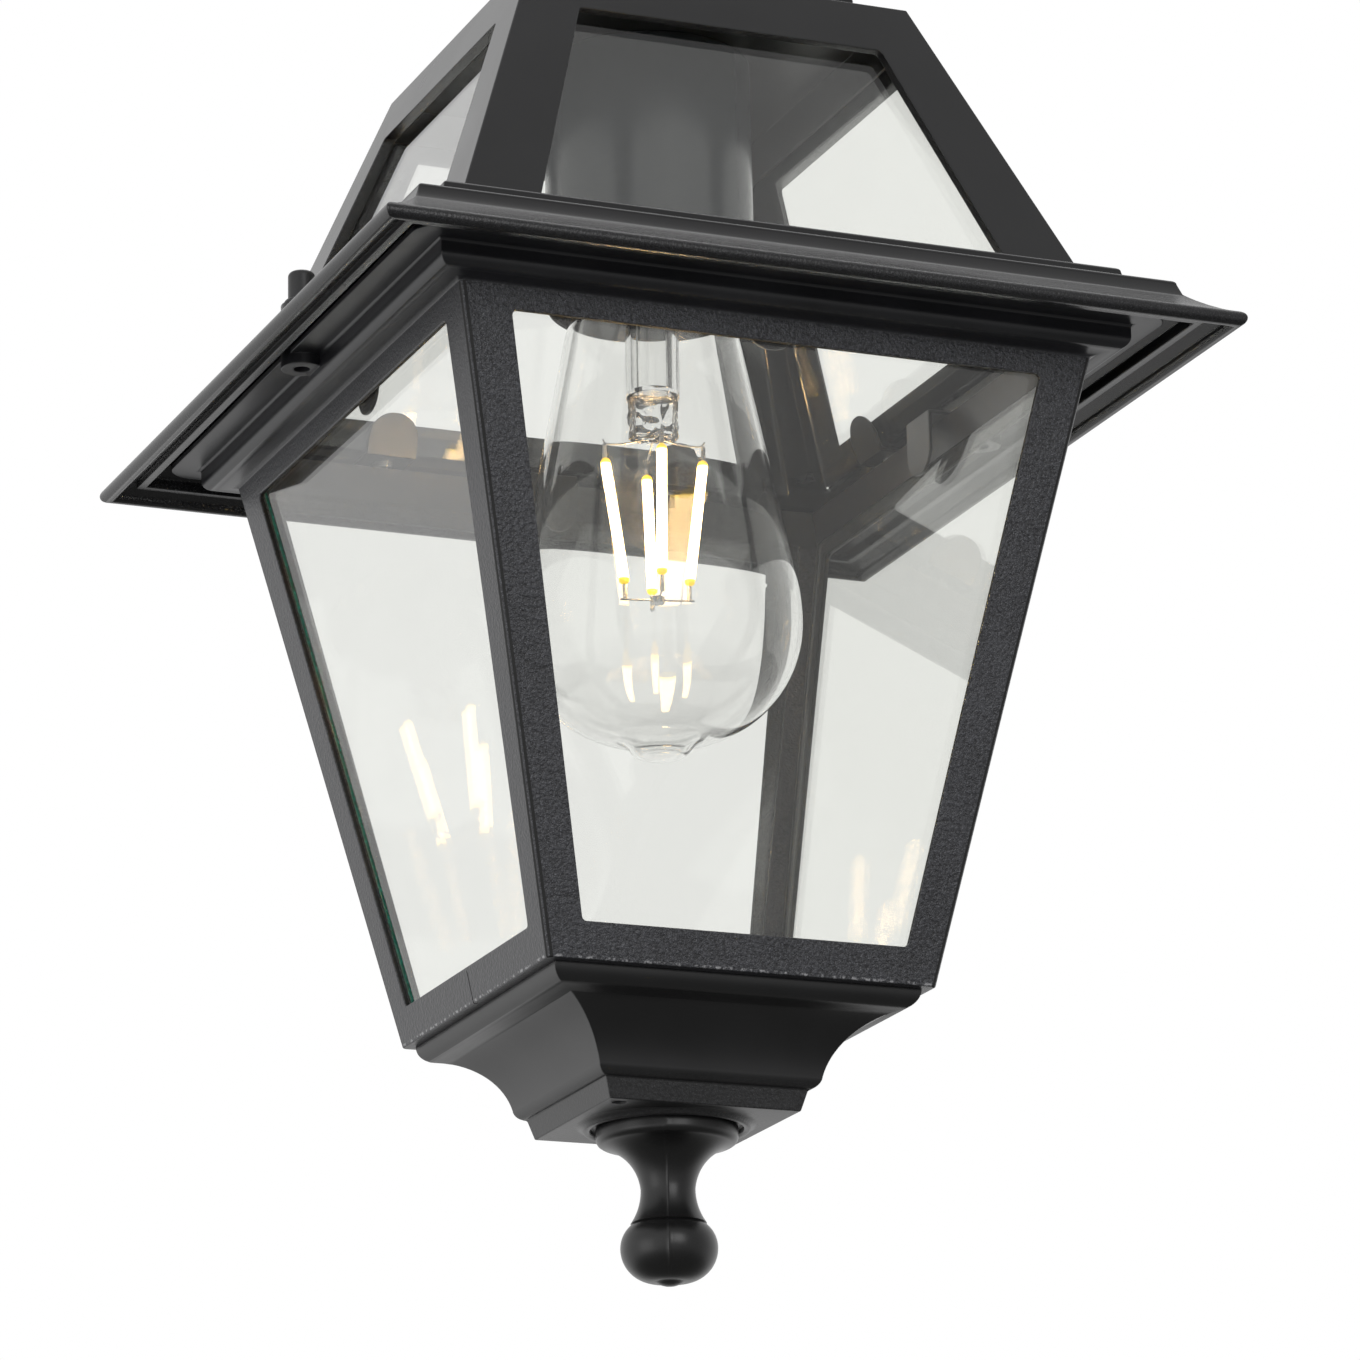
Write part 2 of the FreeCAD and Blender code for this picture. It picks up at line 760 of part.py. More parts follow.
def make_hood():
    """Brim, roof bars and top plate in one casting."""
    body = new_body("hood")
    edge = d.step_edge_radius
    bead = d.lip_bead_radius
    rib_inner = drip_rib_half - d.drip_rib_width
    seat_inner = seat_rib_half - d.seat_rib_width
    under_end = lip_half - bead
    under_half = slope_top_half - d.hood_wall
    under_level = slope_top_level - d.hood_wall
    under_slope = under_level / (under_end - under_half)
    roof_root = d.roof_foot_half - d.roof_wall * roof_lean / 2
    sweep(body, "brim", [
        (roof_root, step_two_level),
        (step_two_half - edge, step_two_level, RIGHT, edge),
        (step_two_half, step_two_level - edge),
        (riser_two_half, step_one_level),
        (step_one_half - edge, step_one_level, RIGHT, edge),
        (step_one_half, step_one_level - edge),
        (slope_top_half, slope_top_level, LEFT, d.slope_hollow_radius),
        (lip_half, bead, RIGHT, bead),
        (lip_half + bead, 0, RIGHT, bead),
        (lip_half, -bead, RIGHT, bead),
        (under_end, 0),
        (drip_rib_half, (under_end - drip_rib_half) * under_slope),
        (drip_rib_half, d.drip_rib_level),
        (rib_inner, d.drip_rib_level),
        (rib_inner, (under_end - rib_inner) * under_slope),
        (under_half, under_level),
        (step_one_half - d.hood_wall, tread_one_under),
        (seat_rib_half, tread_one_under),
        (seat_rib_half, seat_level),
        (seat_inner, seat_level),
        (seat_inner, tread_one_under),
        (riser_two_half - d.hood_wall, tread_one_under),
        (step_two_half - d.hood_wall, tread_two_under),
        (roof_root, tread_two_under),
    ], step_two_half)
    wedge(
        body, "roof",
        square_at(tread_two_under, roof_half(tread_two_under)),
        square_at(roof_top_level, roof_half(roof_top_level)),
    )
    wedge(
        body, "roof_hollow",
        square_at(tread_two_under, roof_inner(tread_two_under)),
        square_at(plate_under, roof_inner(plate_under)),
        adds=False,
    )
    cut_windows(
        body, "roof_window",
        (step_two_level, roof_window_foot_half),
        (roof_window_head_level, roof_window_head_half),
        lip_half * 2, d.roof_window_corner, d.roof_wall,
    )
    bosses = new_sketch(body, "clip_bosses", "XY_Plane", tread_one_under)
    for x, y in clip_spots:
        circle(bosses, x, y, d.clip_boss_radius)
    pad(body, "clip_boss_pads", bosses, tread_two_under + d.hood_wall / 2 - tread_one_under)
    taps = new_sketch(body, "clip_taps", "XY_Plane", tread_one_under)
    ears = new_sketch(body, "thumb_bosses", "XY_Plane", seat_level)
    passes = new_sketch(body, "thumb_passes", "XY_Plane", thumb_pad_level)
    top_hole = new_sketch(body, "top_hole", "XY_Plane", roof_top_level)
    for x in thumb_spots.values():
        circle(ears, x, 0, d.thumb_ear_radius)
        circle(passes, x, 0, d.thumb_thread_radius + d.thumb_pass_gap)
    pad(body, "thumb_boss_pads", ears, thumb_pad_level - seat_level)
    for x, y in clip_spots:
        circle(taps, x, y, screw_tap)
    cut(body, "clip_tap_cuts", taps, d.screw_length - d.clip_sheet + d.screw_end_gap, upward=True)
    cut(body, "thumb_pass_cuts", passes, thumb_pad_level - seat_level)
    circle(top_hole, 0, 0, nipple_hole)
    cut(body, "top_hole_cut", top_hole, d.roof_top_plate)


def make_pane(label, side, foot, head):
    """One flat pane; foot and head are (level, half width, inner face, outer face)."""
    body = new_body(label)
    wedge(body, "glass", foot, head)
    body.Placement = FreeCAD.Placement(FreeCAD.Vector(0, 0, -eye_level.value), facing(side))


def make_roof_panes():
    """Four panes that stand on the clips' feet, under the roof bars."""
    ends = []
    for level in (tread_one_under, roof_pane_head_level):
        half = roof_window_half(level) + d.roof_pane_lap
        ends.append((level, half, roof_pane_inner(level) - d.glass_gap, roof_inner(level) - d.glass_gap))
    for side in SIDES:
        make_pane(f"roof_pane_{side}", side, *ends)


def make_body_panes():
    """Four panes that stand on the body's ledge, inside its posts."""
    ends = []
    for level in (ledge_top, body_head_level - d.body_pane_head_gap):
        inner = body_pane_inner(level) - d.glass_gap
        ends.append((level, inner - d.body_pane_side_gap, inner, body_inner(level) - d.glass_gap))
    for side in SIDES:
        make_pane(f"body_pane_{side}", side, *ends)


def make_retainer():
    """Folded sheet tray that keeps the heads of the roof panes against the bars."""
    body = new_body("roof_retainer")
    sheet_level = d.retainer_sheet * roof_lean
    gap = d.glass_gap * 2
    foot = retainer_foot_level

    def face(level):
        return roof_pane_inner(level) - gap

    wedge(body, "tray", square_at(foot, face(foot)), square_at(plate_under, face(plate_under)))
    wedge(
        body, "tray_hollow",
        square_at(foot, face(foot) - sheet_level),
        square_at(sleeve_top, face(sleeve_top) - sheet_level),
        adds=False,
    )
    hole = new_sketch(body, "hole", "XY_Plane", plate_under)
    circle(hole, 0, 0, nipple_hole)
    cut(body, "hole_cut", hole, d.retainer_sheet)


def make_clip(name, corners, tip, points_up, screw_half, seat):
    """Folded strip for the front side, with a rounded tip and a screw hole in its foot."""
    body = new_body(name, hung=False)
    section = new_sketch(body, "section", "YZ_Plane")
    outline(section, corners)
    pad(body, "strip", section, d.clip_width, symmetric=True)
    half, spare = d.clip_width / 2, d.clip_sheet
    bend = half - d.clip_tip_flat / 2
    turn = RIGHT if points_up else LEFT
    back = -bend if points_up else bend
    beyond = spare if points_up else -spare
    waste = new_sketch(body, "tip_waste", "XZ_Plane")
    for side, side_turn in ((1, turn), (-1, -turn)):
        outline(waste, [
            ((half - bend) * side, tip, side_turn, bend),
            (half * side, tip + back),
            ((half + spare) * side, tip + back),
            ((half + spare) * side, tip + beyond),
            ((half - bend) * side, tip + beyond),
        ])
    cut(body, "tip_cut", waste, screw_half * 2, symmetric=True)
    hole = new_sketch(body, "hole", "XY_Plane", seat)
    circle(hole, 0, -screw_half, screw_pass)
    cut(body, "hole_cut", hole, d.clip_sheet * 4, symmetric=True)
    return body


def make_roof_clips():
    """Two half-round tabs to each roof pane, folded to a foot under the tread."""
    outer_end = -(clip_screw_half + d.clip_foot_margin)
    foot = tread_one_under
    under = foot - d.clip_sheet
    tip = clip_tip_level
    sheet_level = d.clip_sheet * roof_lean

    def face(level):
        return d.glass_gap * 2 - roof_pane_inner(level)

    form = make_clip("roof_clip_form", [
        (outer_end, foot),
        (face(foot), foot),
        (face(tip), tip),
        (face(tip) + sheet_level, tip),
        (face(under) + sheet_level, under),
        (outer_end, under),
    ], tip, True, clip_screw_half, foot)
    spots = []
    for side in SIDES:
        for along in (-d.clip_offset, d.clip_offset):
            spots.append((*on_side(side, along, as_size(0)), 0, facing(side)))
    group("roof_clips", form, spots)


def make_body_clips():
    """One strap to each body pane, screwed to the top of the flange."""
    foot = seat_level
    head = foot + d.clip_sheet
    tip = body_clip_tip_level
    outer_end = -(body_clip_screw_half + d.clip_foot_margin)
    face = d.glass_gap * 2 - body_pane_inner(tip)
    form = make_clip("body_clip_form", [
        (outer_end, head),
        (outer_end, foot),
        (face, foot),
        (face, tip),
        (face + d.clip_sheet, tip),
        (face + d.clip_sheet, head),
    ], tip, False, body_clip_screw_half, foot)
    group("body_clips", form, [(0, 0, 0, facing(side)) for side in SIDES])


def make_small_screws():
    """Pan-head screws of one form, gathered by what they hold."""
    form = new_body("screw_form", hung=False)
    head, bend = d.screw_head_thick, d.screw_head_bevel
    revolve(form, "turned", [
        (0, head),
        (0, -d.screw_length),
        (d.screw_radius, -d.screw_length),
        (d.screw_radius, 0),
        (d.screw_head_radius, 0),
        (d.screw_head_radius, head - bend),
        (d.screw_head_radius - bend, head),
    ])
    under = tread_one_under - d.clip_sheet
    group("roof_clip_screws", form, [(x, y, under, OVER) for x, y in clip_spots])
    over = seat_level + d.clip_sheet
    spots = [on_side(side, as_size(0), body_clip_screw_half) for side in SIDES]
    group("body_clip_screws", form, [(x, y, over, UPRIGHT) for x, y in spots])
    group("base_screws", form, [(x, y, ledge_top, UPRIGHT) for x, y in base_screw_spots])


def make_body_frame():
    """Posts, rails, moulded flange, ears and ledge in one casting."""
    body = new_body("body_frame")
    head, foot = body_head_level, body_foot_level
    wedge(body, "walls", square_at(foot, body_half(foot)), square_at(head, body_half(head)))
    wedge(
        body, "hollow",
        square_at(ledge_top, body_inner(ledge_top)),
        square_at(head, body_inner(head)),
        adds=False,
    )

    def is_post(edge):
        centre = edge.CenterOfMass
        outer = body_half(as_size(centre.z)).value - d.body_wall.value / 2
        tall = (head.value - foot.value) / 2
        return edge.Length > tall and abs(centre.x) > outer and abs(centre.y) > outer

    fillet(body, "posts", d.body_edge_radius, is_post)
    opening = new_sketch(body, "ledge_opening", "XY_Plane", ledge_top)
    square(opening, foot_opening_half)
    cut(body, "ledge_opening_cut", opening, d.ledge_thick)
    roll = d.roll_radius
    bend = d.roll_fillet
    sweep(body, "flange", [
        (body_inner(head), head),
        (body_head_half, head, RIGHT, d.roll_cove_radius),
        (roll_half - roll, roll_foot_level, LEFT, roll),
        (roll_half, roll_foot_level + roll),
        (roll_half, soffit_level - bend, RIGHT, bend),
        (roll_half + bend, soffit_level),
        (flange_half, soffit_level),
        (flange_half, soffit_level + d.flange_lip),
        (flange_step_half, soffit_level + d.flange_lip),
        (flange_step_half, seat_level),
        (body_inner(head), seat_level),
    ], body_head_half)

    def is_flange_corner(edge):
        centre = edge.CenterOfMass
        outer = roll_half.value
        return runs_along(edge, Z) and abs(centre.x) > outer and abs(centre.y) > outer

    fillet(body, "flange_corners", d.flange_corner, is_flange_corner)
    cut_windows(
        body, "window",
        (window_foot_level, window_foot_half),
        (window_head_level, window_head_half),
        lip_half * 2, d.window_corner, d.body_wall,
    )
    ears = new_sketch(body, "ears", "XY_Plane", thumb_ear_level)
    taps = new_sketch(body, "ear_taps", "XY_Plane", seat_level)
    for x in thumb_spots.values():
        circle(ears, x, 0, d.thumb_ear_radius)
        circle(taps, x, 0, d.thumb_thread_radius + d.thumb_thread_gap)
    pad(body, "ear_pads", ears, soffit_level + d.flange_thick / 2 - thumb_ear_level)
    cut(body, "ear_tap_cuts", taps, seat_level - thumb_ear_level)
    clip_taps = new_sketch(body, "clip_taps", "XY_Plane", seat_level)
    for side in SIDES:
        circle(clip_taps, *on_side(side, as_size(0), body_clip_screw_half), screw_tap)
    cut(body, "clip_tap_cuts", clip_taps, d.screw_length)
    screw_holes = new_sketch(body, "base_screw_holes", "XY_Plane", ledge_top)
    for x, y in base_screw_spots:
        circle(screw_holes, x, y, screw_pass)
    cut(body, "base_screw_hole_cuts", screw_holes, d.ledge_thick)


def make_base_cup():
    """Square ogee foot with a flat rim, a drain hole and a raised ring round the finial."""
    body = new_body("base_cup")
    head, foot = body_foot_level, base_foot_level
    floor = foot + d.base_wall
    inner_round = d.cove_radius + d.base_wall
    sweep(body, "ogee", [
        (base_head_half, head, RIGHT, d.base_bead_radius),
        (base_bead_half, base_bead_level, LEFT, d.cove_radius),
        (cove_foot_half, cove_foot_level, RIGHT, d.ogee_radius),
        (band_head_half, band_head_level),
        (band_foot_half, foot),
        (band_foot_half - d.base_wall, foot),
        (band_foot_half - d.base_wall, floor),
        (cove_foot_half - d.base_wall, cove_foot_level, RIGHT, inner_round),
        (foot_opening_half, base_bead_level),
        (foot_opening_half, head),
    ], foot_opening_half)
    plate = new_sketch(body, "plate", "XY_Plane", foot)
    square(plate, band_foot_half - d.base_wall / 2)
    pad(body, "plate_pad", plate, d.base_wall)
    ring_level = foot - d.ring_depth
    ring_inner = d.ring_radius - d.ring_width
    root = foot + d.base_wall / 2
    revolve(body, "ring", [
        (ring_inner, root),
        (ring_inner, ring_level + d.ring_bevel),
        (ring_inner + d.ring_bevel, ring_level),
        (d.ring_radius - d.ring_cove_run, ring_level, RIGHT, d.ring_cove_radius),
        (d.ring_radius, foot),
        (d.ring_radius, root),
    ])
    holes = new_sketch(body, "holes", "XY_Plane", floor)
    circle(holes, 0, 0, d.finial_bolt_radius + d.screw_pass_gap)
    circle(holes, -drain_half, -drain_half, d.drain_radius)
    cut(body, "hole_cuts", holes, d.base_wall)
    taps = new_sketch(body, "taps", "XY_Plane", head)
    for x, y in base_screw_spots:
        circle(taps, x, y, screw_tap)
    cut(body, "tap_cuts", taps, d.screw_length - d.ledge_thick + d.screw_end_gap)


def make_finial():
    """Turned pendant, its bolt and its washer."""
    body = new_body("finial")
    foot = base_foot_level
    bend = d.finial_flange_round
    bore = d.finial_bolt_radius + d.screw_thread_gap
    bolt_seat = foot + d.base_wall + d.finial_washer_thick
    bolt_end = bolt_seat - d.finial_bolt_length
    revolve(body, "turned", [
        (bore, foot),
        (d.finial_collar_radius, foot),
        (d.finial_collar_radius, finial_collar_level),
        (d.finial_flange_radius, finial_collar_level),
        (d.finial_flange_radius, finial_flange_level, RIGHT, bend),
        (d.finial_flange_radius - bend, finial_flange_level - bend, LEFT, d.finial_cove_radius),
        (d.finial_neck_radius, finial_neck_level, LEFT, d.finial_throat_round),
        (d.finial_rim_radius, finial_rim_level),
        (d.finial_groove_radius, finial_groove_level),
        (d.finial_brow_radius, finial_brow_level, RIGHT, d.finial_ball_upper_round),
        (d.finial_ball_radius, finial_ball_level, RIGHT, d.finial_ball_lower_round),
        (d.finial_tip_radius, finial_tip_level, RIGHT, d.finial_point_round),
        (0, finial_point_level),
        (0, bolt_end - d.screw_pass_gap),
        (bore, bolt_end - d.screw_pass_gap),
    ])
    washer = new_body("finial_washer")
    revolve(washer, "ring", [
        (d.finial_bolt_radius + d.screw_pass_gap, foot + d.base_wall),
        (d.finial_washer_radius, foot + d.base_wall),
        (d.finial_washer_radius, bolt_seat),
        (d.finial_bolt_radius + d.screw_pass_gap, bolt_seat),
    ])
    bolt = new_body("finial_bolt")
    bend = d.screw_head_bevel
    head = bolt_seat + d.finial_bolt_head_thick
    revolve(bolt, "turned", [
        (0, bolt_end),
        (d.finial_bolt_radius, bolt_end),
        (d.finial_bolt_radius, bolt_seat),
        (d.finial_bolt_head_radius, bolt_seat),
        (d.finial_bolt_head_radius, head - bend),
        (d.finial_bolt_head_radius - bend, head),
        (0, head),
    ])


def make_thumb_screws():
    """Two knobs on the brim whose threads run in the body's ears."""
    seat = thumb_pad_level + d.thumb_seat_gap
    end = thumb_ear_level + d.thumb_end_rise
    collar = seat + d.thumb_base_thick
    bend = d.thumb_head_round
    for side, x in thumb_spots.items():
        body = new_body(f"thumb_screw_{side}")
        body.setExpression("Placement.Base.x", x.text)
        revolve(body, "turned", [
            (0, end),
            (d.thumb_thread_radius, end),
            (d.thumb_thread_radius, seat),
            (d.thumb_base_radius, seat),
            (d.thumb_base_radius, collar - d.thumb_base_thick / 2),
            (d.thumb_base_radius - d.thumb_base_thick / 2, collar),
            (d.thumb_head_radius, collar),
            (d.thumb_head_radius, thumb_head_level - bend, LEFT, bend),
            (d.thumb_head_radius - bend, thumb_head_level),
            (0, thumb_head_level),
        ])


def make_sleeve_and_holder():
    """Drawn sleeve, lampholder, its screw shell and its middle contact."""
    sleeve = new_body("lamp_sleeve")
    inner = d.sleeve_radius - d.sleeve_wall
    edge = d.sleeve_edge_bevel
    revolve(sleeve, "drawn", [
        (nipple_hole, sleeve_top),
        (nipple_hole, holder_top),
        (inner, holder_top),
        (inner, sleeve_foot_level),
        (d.sleeve_radius - edge, sleeve_foot_level),
        (d.sleeve_radius, sleeve_foot_level + edge),
        (d.sleeve_radius, sleeve_top),
    ])
    holder = new_body("holder_body")
    revolve(holder, "moulded", [
        (nipple_tap, holder_top),
        (nipple_tap, holder_bore_level),
        (0, holder_bore_level),
        (0, holder_cavity_level),
        (holder_cavity, holder_cavity_level),
        (holder_cavity, holder_foot_level),
        (holder_radius, holder_foot_level),
        (holder_radius, holder_shoulder_level),
        (d.holder_neck_radius, holder_neck_level),
        (d.holder_neck_radius, holder_top),
    ])
    shell = new_body("holder_shell")
    revolve(shell, "tube", [
        (shell_outer, holder_cavity_level),
        (shell_inner, holder_cavity_level),
        (shell_inner, shell_foot_level),
        (shell_outer, shell_foot_level),
    ])
    contact = new_body("holder_contact")
    foot = bulb_insulator_level + d.bulb_contact_thick
    revolve(contact, "stud", [
        (0, holder_cavity_level),
        (0, foot),
        (d.contact_radius / 2, foot),
        (d.contact_radius, foot + (holder_cavity_level - foot) / 2),
        (d.contact_radius, holder_cavity_level),
    ])


def make_top():
    """Nipple with its nut, weather cap with its gasket, hanging eye and cable inlet."""
    nipple = new_body("nipple")
    revolve(nipple, "tube", [
        (d.nipple_bore, nipple_foot_level),
        (d.nipple_radius, nipple_foot_level),
        (d.nipple_radius, nipple_head_level),
        (d.nipple_bore, nipple_head_level),
    ])
    for label, foot in (("nipple_washer", roof_top_level), ("loop_washer", cap_top)):
        washer = new_body(label)
        revolve(washer, "ring", [
            (nipple_hole, foot),
            (d.washer_radius, foot),
            (d.washer_radius, foot + d.washer_thick),
            (nipple_hole, foot + d.washer_thick),
        ])
    nut = new_body("nipple_nut")
    flats = new_sketch(nut, "flats", "XY_Plane", roof_top_level + d.washer_thick)
    apothem = d.nut_across / 2
    point = d.nut_across / as_size(3).root()
    outline(flats, [
        (point, 0),
        (point / 2, apothem),
        (-(point / 2), apothem),
        (-point, 0),
        (-(point / 2), -apothem),
        (point / 2, -apothem),
    ])
    circle(flats, 0, 0, nipple_tap)
    pad(nut, "hexagon", flats, d.nut_thick)
    gasket = new_body("cap_gasket")
    ring = new_sketch(gasket, "ring", "XY_Plane", roof_top_level)
    square(ring, gasket_half)
    square(ring, gasket_half - d.gasket_width)
    pad(gasket, "ring_pad", ring, d.gasket_thick)
    make_cap()
    make_loop()


def make_cap():
    """Hollow pyramid that covers the nut and keeps rain off the top plate."""
    body = new_body("top_cap")
    eaves = cap_seat + d.cap_skirt
    skirt = new_sketch(body, "skirt", "XY_Plane", cap_seat)
    square(skirt, cap_half)
    pad(body, "skirt_pad", skirt, d.cap_skirt)
    wedge(body, "slopes", square_at(eaves, cap_half), square_at(cap_top, d.cap_top_half))
    inner_top = cap_top - d.cap_wall
    opening = new_sketch(body, "opening", "XY_Plane", cap_seat)
    square(opening, cap_half - d.cap_lip)
    cut(body, "opening_cut", opening, d.cap_skirt - d.cap_wall, upward=True)
    wedge(
        body, "hollow",
        square_at(eaves - d.cap_wall, cap_half - d.cap_lip),
        square_at(inner_top, d.cap_top_half - d.cap_wall),
        adds=False,
    )
    hole = new_sketch(body, "hole", "XY_Plane", cap_top)
    circle(hole, 0, 0, nipple_hole)
    cut(body, "hole_cut", hole, d.cap_wall)


def make_loop():
    """Hanging eye on a threaded collar, with a grommet in the collar's cable inlet."""
    loop = new_body("hang_loop")
    collar = new_sketch(loop, "collar", "XY_Plane", collar_foot)
    circle(collar, 0, 0, d.collar_radius)
    pad(loop, "collar_pad", collar, d.collar_length)
    band = new_sketch(loop, "band", "XZ_Plane")
    circle(band, 0, eye_level, d.eye_radius + d.eye_band)
    pad(loop, "band_pad", band, d.eye_thick, symmetric=True)
    eye = new_sketch(loop, "eye", "XZ_Plane")
    circle(eye, 0, eye_level, d.eye_radius)
    cut(loop, "eye_cut", eye, d.eye_thick + d.collar_radius * 2, symmetric=True)
    bore = new_sketch(loop, "bore", "XY_Plane", collar_foot)
    circle(bore, 0, 0, nipple_tap)
    cut(loop, "bore_cut", bore, d.collar_length - d.collar_roof, upward=True)
    inlet = new_sketch(loop, "inlet", "XZ_Plane")
    circle(inlet, 0, inlet_level, d.inlet_radius)
    cut(loop, "inlet_cut", inlet, d.collar_radius)
    grommet = new_body("cable_grommet")
    flange = new_sketch(grommet, "flange", "XZ_Plane", -(d.collar_radius + d.grommet_flange_thick))
    circle(flange, 0, inlet_level, d.grommet_flange_radius)
    pad(grommet, "flange_pad", flange, d.grommet_flange_thick)
    barrel = new_sketch(grommet, "barrel", "XZ_Plane", -(d.collar_radius + d.grommet_flange_thick / 2))
    circle(barrel, 0, inlet_level, d.inlet_radius - d.nipple_gap)
    pad(grommet, "barrel_pad", barrel, d.grommet_flange_thick / 2 + d.collar_radius - nipple_tap)
    passage = new_sketch(grommet, "passage", "XZ_Plane")
    circle(passage, 0, inlet_level, d.grommet_bore)
    cut(grommet, "passage_cut", passage, d.collar_radius * 2)


def make_bulb():
    """Blown envelope, cap, stem and filaments of the lamp."""
    glass = new_body("bulb_glass")
    wall = d.bulb_glass_wall
    share = wall / d.bulb_dome_round
    dome_foot = (d.bulb_dome_end_radius, bulb_dome_end_level)
    inner_foot = (
        dome_foot[0] + (d.bulb_radius - d.bulb_dome_round - dome_foot[0]) * share,
        dome_foot[1] + (bulb_belly_level - dome_foot[1]) * share,
    )
    revolve(glass, "blown", [
        (0, bulb_tip_level, LEFT, d.bulb_tip_round),
        (d.bulb_pip_radius, bulb_pip_level, RIGHT, d.bulb_pip_cove),
        (*dome_foot, LEFT, d.bulb_dome_round),
        (d.bulb_radius, bulb_belly_level, LEFT, d.bulb_shoulder_round),
        (d.bulb_shoulder_radius, bulb_shoulder_level),
        (d.bulb_cone_radius, bulb_cone_level, LEFT, d.bulb_flare_round),
        (d.bulb_flare_radius, bulb_flare_level, RIGHT, d.bulb_neck_round),
        (d.bulb_neck_radius, bulb_neck_level),
        (d.bulb_neck_radius, bulb_head_level),
        (d.bulb_neck_radius - wall, bulb_head_level),
        (d.bulb_neck_radius - wall, bulb_neck_level, LEFT, d.bulb_neck_round + wall),
        (d.bulb_flare_radius - wall, bulb_flare_level, RIGHT, d.bulb_flare_round - wall),
        (d.bulb_cone_radius - wall, bulb_cone_level),
        (d.bulb_shoulder_radius - wall, bulb_shoulder_level, RIGHT, d.bulb_shoulder_round - wall),
        (d.bulb_radius - wall, bulb_belly_level, RIGHT, d.bulb_dome_round - wall),
        inner_foot,
        (0, inner_foot[1]),
    ])
    cap = new_body("bulb_cap")
    inner = d.bulb_cap_radius - d.bulb_cap_wall
    under = bulb_cap_top_level - d.bulb_cap_wall
    revolve(cap, "drawn", [
        (inner, bulb_cap_foot_level),
        (d.bulb_cap_radius, bulb_cap_foot_level),
        (d.bulb_cap_radius, bulb_cap_head_level),
        (d.bulb_cap_top_radius, bulb_cap_top_level),
        (d.bulb_cap_hole, bulb_cap_top_level),
        (d.bulb_cap_hole, under),
        (d.bulb_cap_top_radius - d.bulb_cap_wall, under),
        (inner, bulb_cap_head_level - d.bulb_cap_wall),
    ])
    insulator = new_body("bulb_insulator")
    revolve(insulator, "cone", [
        (0, under),
        (d.bulb_cap_hole, under),
        (d.bulb_cap_hole, bulb_cap_top_level),
        (d.bulb_contact_radius, bulb_insulator_level),
        (0, bulb_insulator_level),
    ])
    contact = new_body("bulb_contact")
    contact_top = bulb_insulator_level + d.bulb_contact_thick
    revolve(contact, "button", [
        (0, bulb_insulator_level),
        (d.bulb_contact_radius, bulb_insulator_level),
        (d.bulb_contact_radius - d.bulb_contact_thick, contact_top),
        (0, contact_top),
    ])
    make_stem()
    make_filaments()


def make_stem():
    """Glass stem: a flare sealed in the neck, a tube and a flattened pinch."""
    stem = new_body("bulb_stem")
    flare = d.bulb_neck_radius - d.bulb_glass_wall - d.stem_gap
    flare_foot = stem_flare_level - d.stem_flare_thick
    bore = d.stem_radius - d.stem_wall
    revolve(stem, "tube", [
        (bore, stem_flare_level),
        (bore, stem_foot_level + d.stem_wall),
        (0, stem_foot_level + d.stem_wall),
        (0, stem_foot_level),
        (d.stem_radius, stem_foot_level),
        (d.stem_radius, flare_foot - d.stem_radius, RIGHT, d.stem_radius),
        (flare, flare_foot),
        (flare, stem_flare_level),
    ])
    turn = FreeCAD.Rotation(Z, d.filament_turn.value + FULL_TURN / 4)
    half, deep = d.pinch_width / 2, d.pinch_thick / 2
    root = d.stem_radius / as_size(2).root()
    wedge(stem, "pinch", (pinch_foot_level, half, -deep, deep), square_at(stem_foot_level, root))
    stem.Placement = FreeCAD.Placement(FreeCAD.Vector(0, 0, -eye_level.value), turn)


def rod(name, start, end, radius):
    """Thin round rod between two points given as (radius, level) in the lamp's half plane."""
    rise = end[1] - start[1]
    run = end[0] - start[0]
    item = doc.addObject("Part::Cylinder", name)
    item.setExpression("Radius", radius.text)
    item.setExpression("Height", (rise * rise + run * run).root().text)
    direction = FreeCAD.Vector(run.value, 0, rise.value)
    place(item, start[0], 0, start[1], FreeCAD.Rotation(Z, direction))
    return item


def make_filaments():
    """Four leaning filaments between the upper wires and the lower hub."""
    head = (d.filament_head_radius, filament_head_level)
    foot = (filament_foot_radius, filament_foot_level)
    turns = [FreeCAD.Rotation(Z, d.filament_turn.value + step * FULL_TURN / 4) for step in range(4)]
    spots = [(0, 0, 0, turn) for turn in turns]
    group("bulb_filaments", rod("filament_form", foot, head, d.filament_radius), spots)
    clear = d.wire_radius + d.wire_gap
    upper_root = (d.wire_root_radius, pinch_foot_level - clear)
    upper = rod("upper_wire_form", upper_root, (head[0], head[1] + clear), d.wire_radius)
    lower_root = (d.hub_radius + clear, hub_level)
    lower = rod("lower_wire_form", lower_root, (foot[0], foot[1] - clear), d.wire_radius)
    hub = doc.addObject("Part::Cylinder", "hub_form")
    hub.setExpression("Radius", d.hub_radius.text)
    hub.setExpression("Height", d.hub_thick.text)
    place(hub, 0, 0, hub_level - d.hub_thick / 2, UPRIGHT)
    group("bulb_upper_wires", upper, spots)
    group("bulb_lower_wires", lower, spots)
    group("bulb_hub", hub, spots[:1])


def write_nodes():
    """Check every object and each node's solid, then write the nodes."""
    doc.recompute()
    for item in doc.Objects:
        if "Invalid" in item.State or "Error" in item.State:
            raise ValueError(f"{item.Name} did not build: {item.State}")
    for node in nodes:
        if node.Shape.isNull() or not node.Shape.isValid() or not node.Shape.Solids:
            raise ValueError(f"{node.Label} is not a valid solid")
    os.makedirs("parts", exist_ok=True)
    for node in nodes:
        node.Shape.exportStep(f"parts/{node.Label}.step")


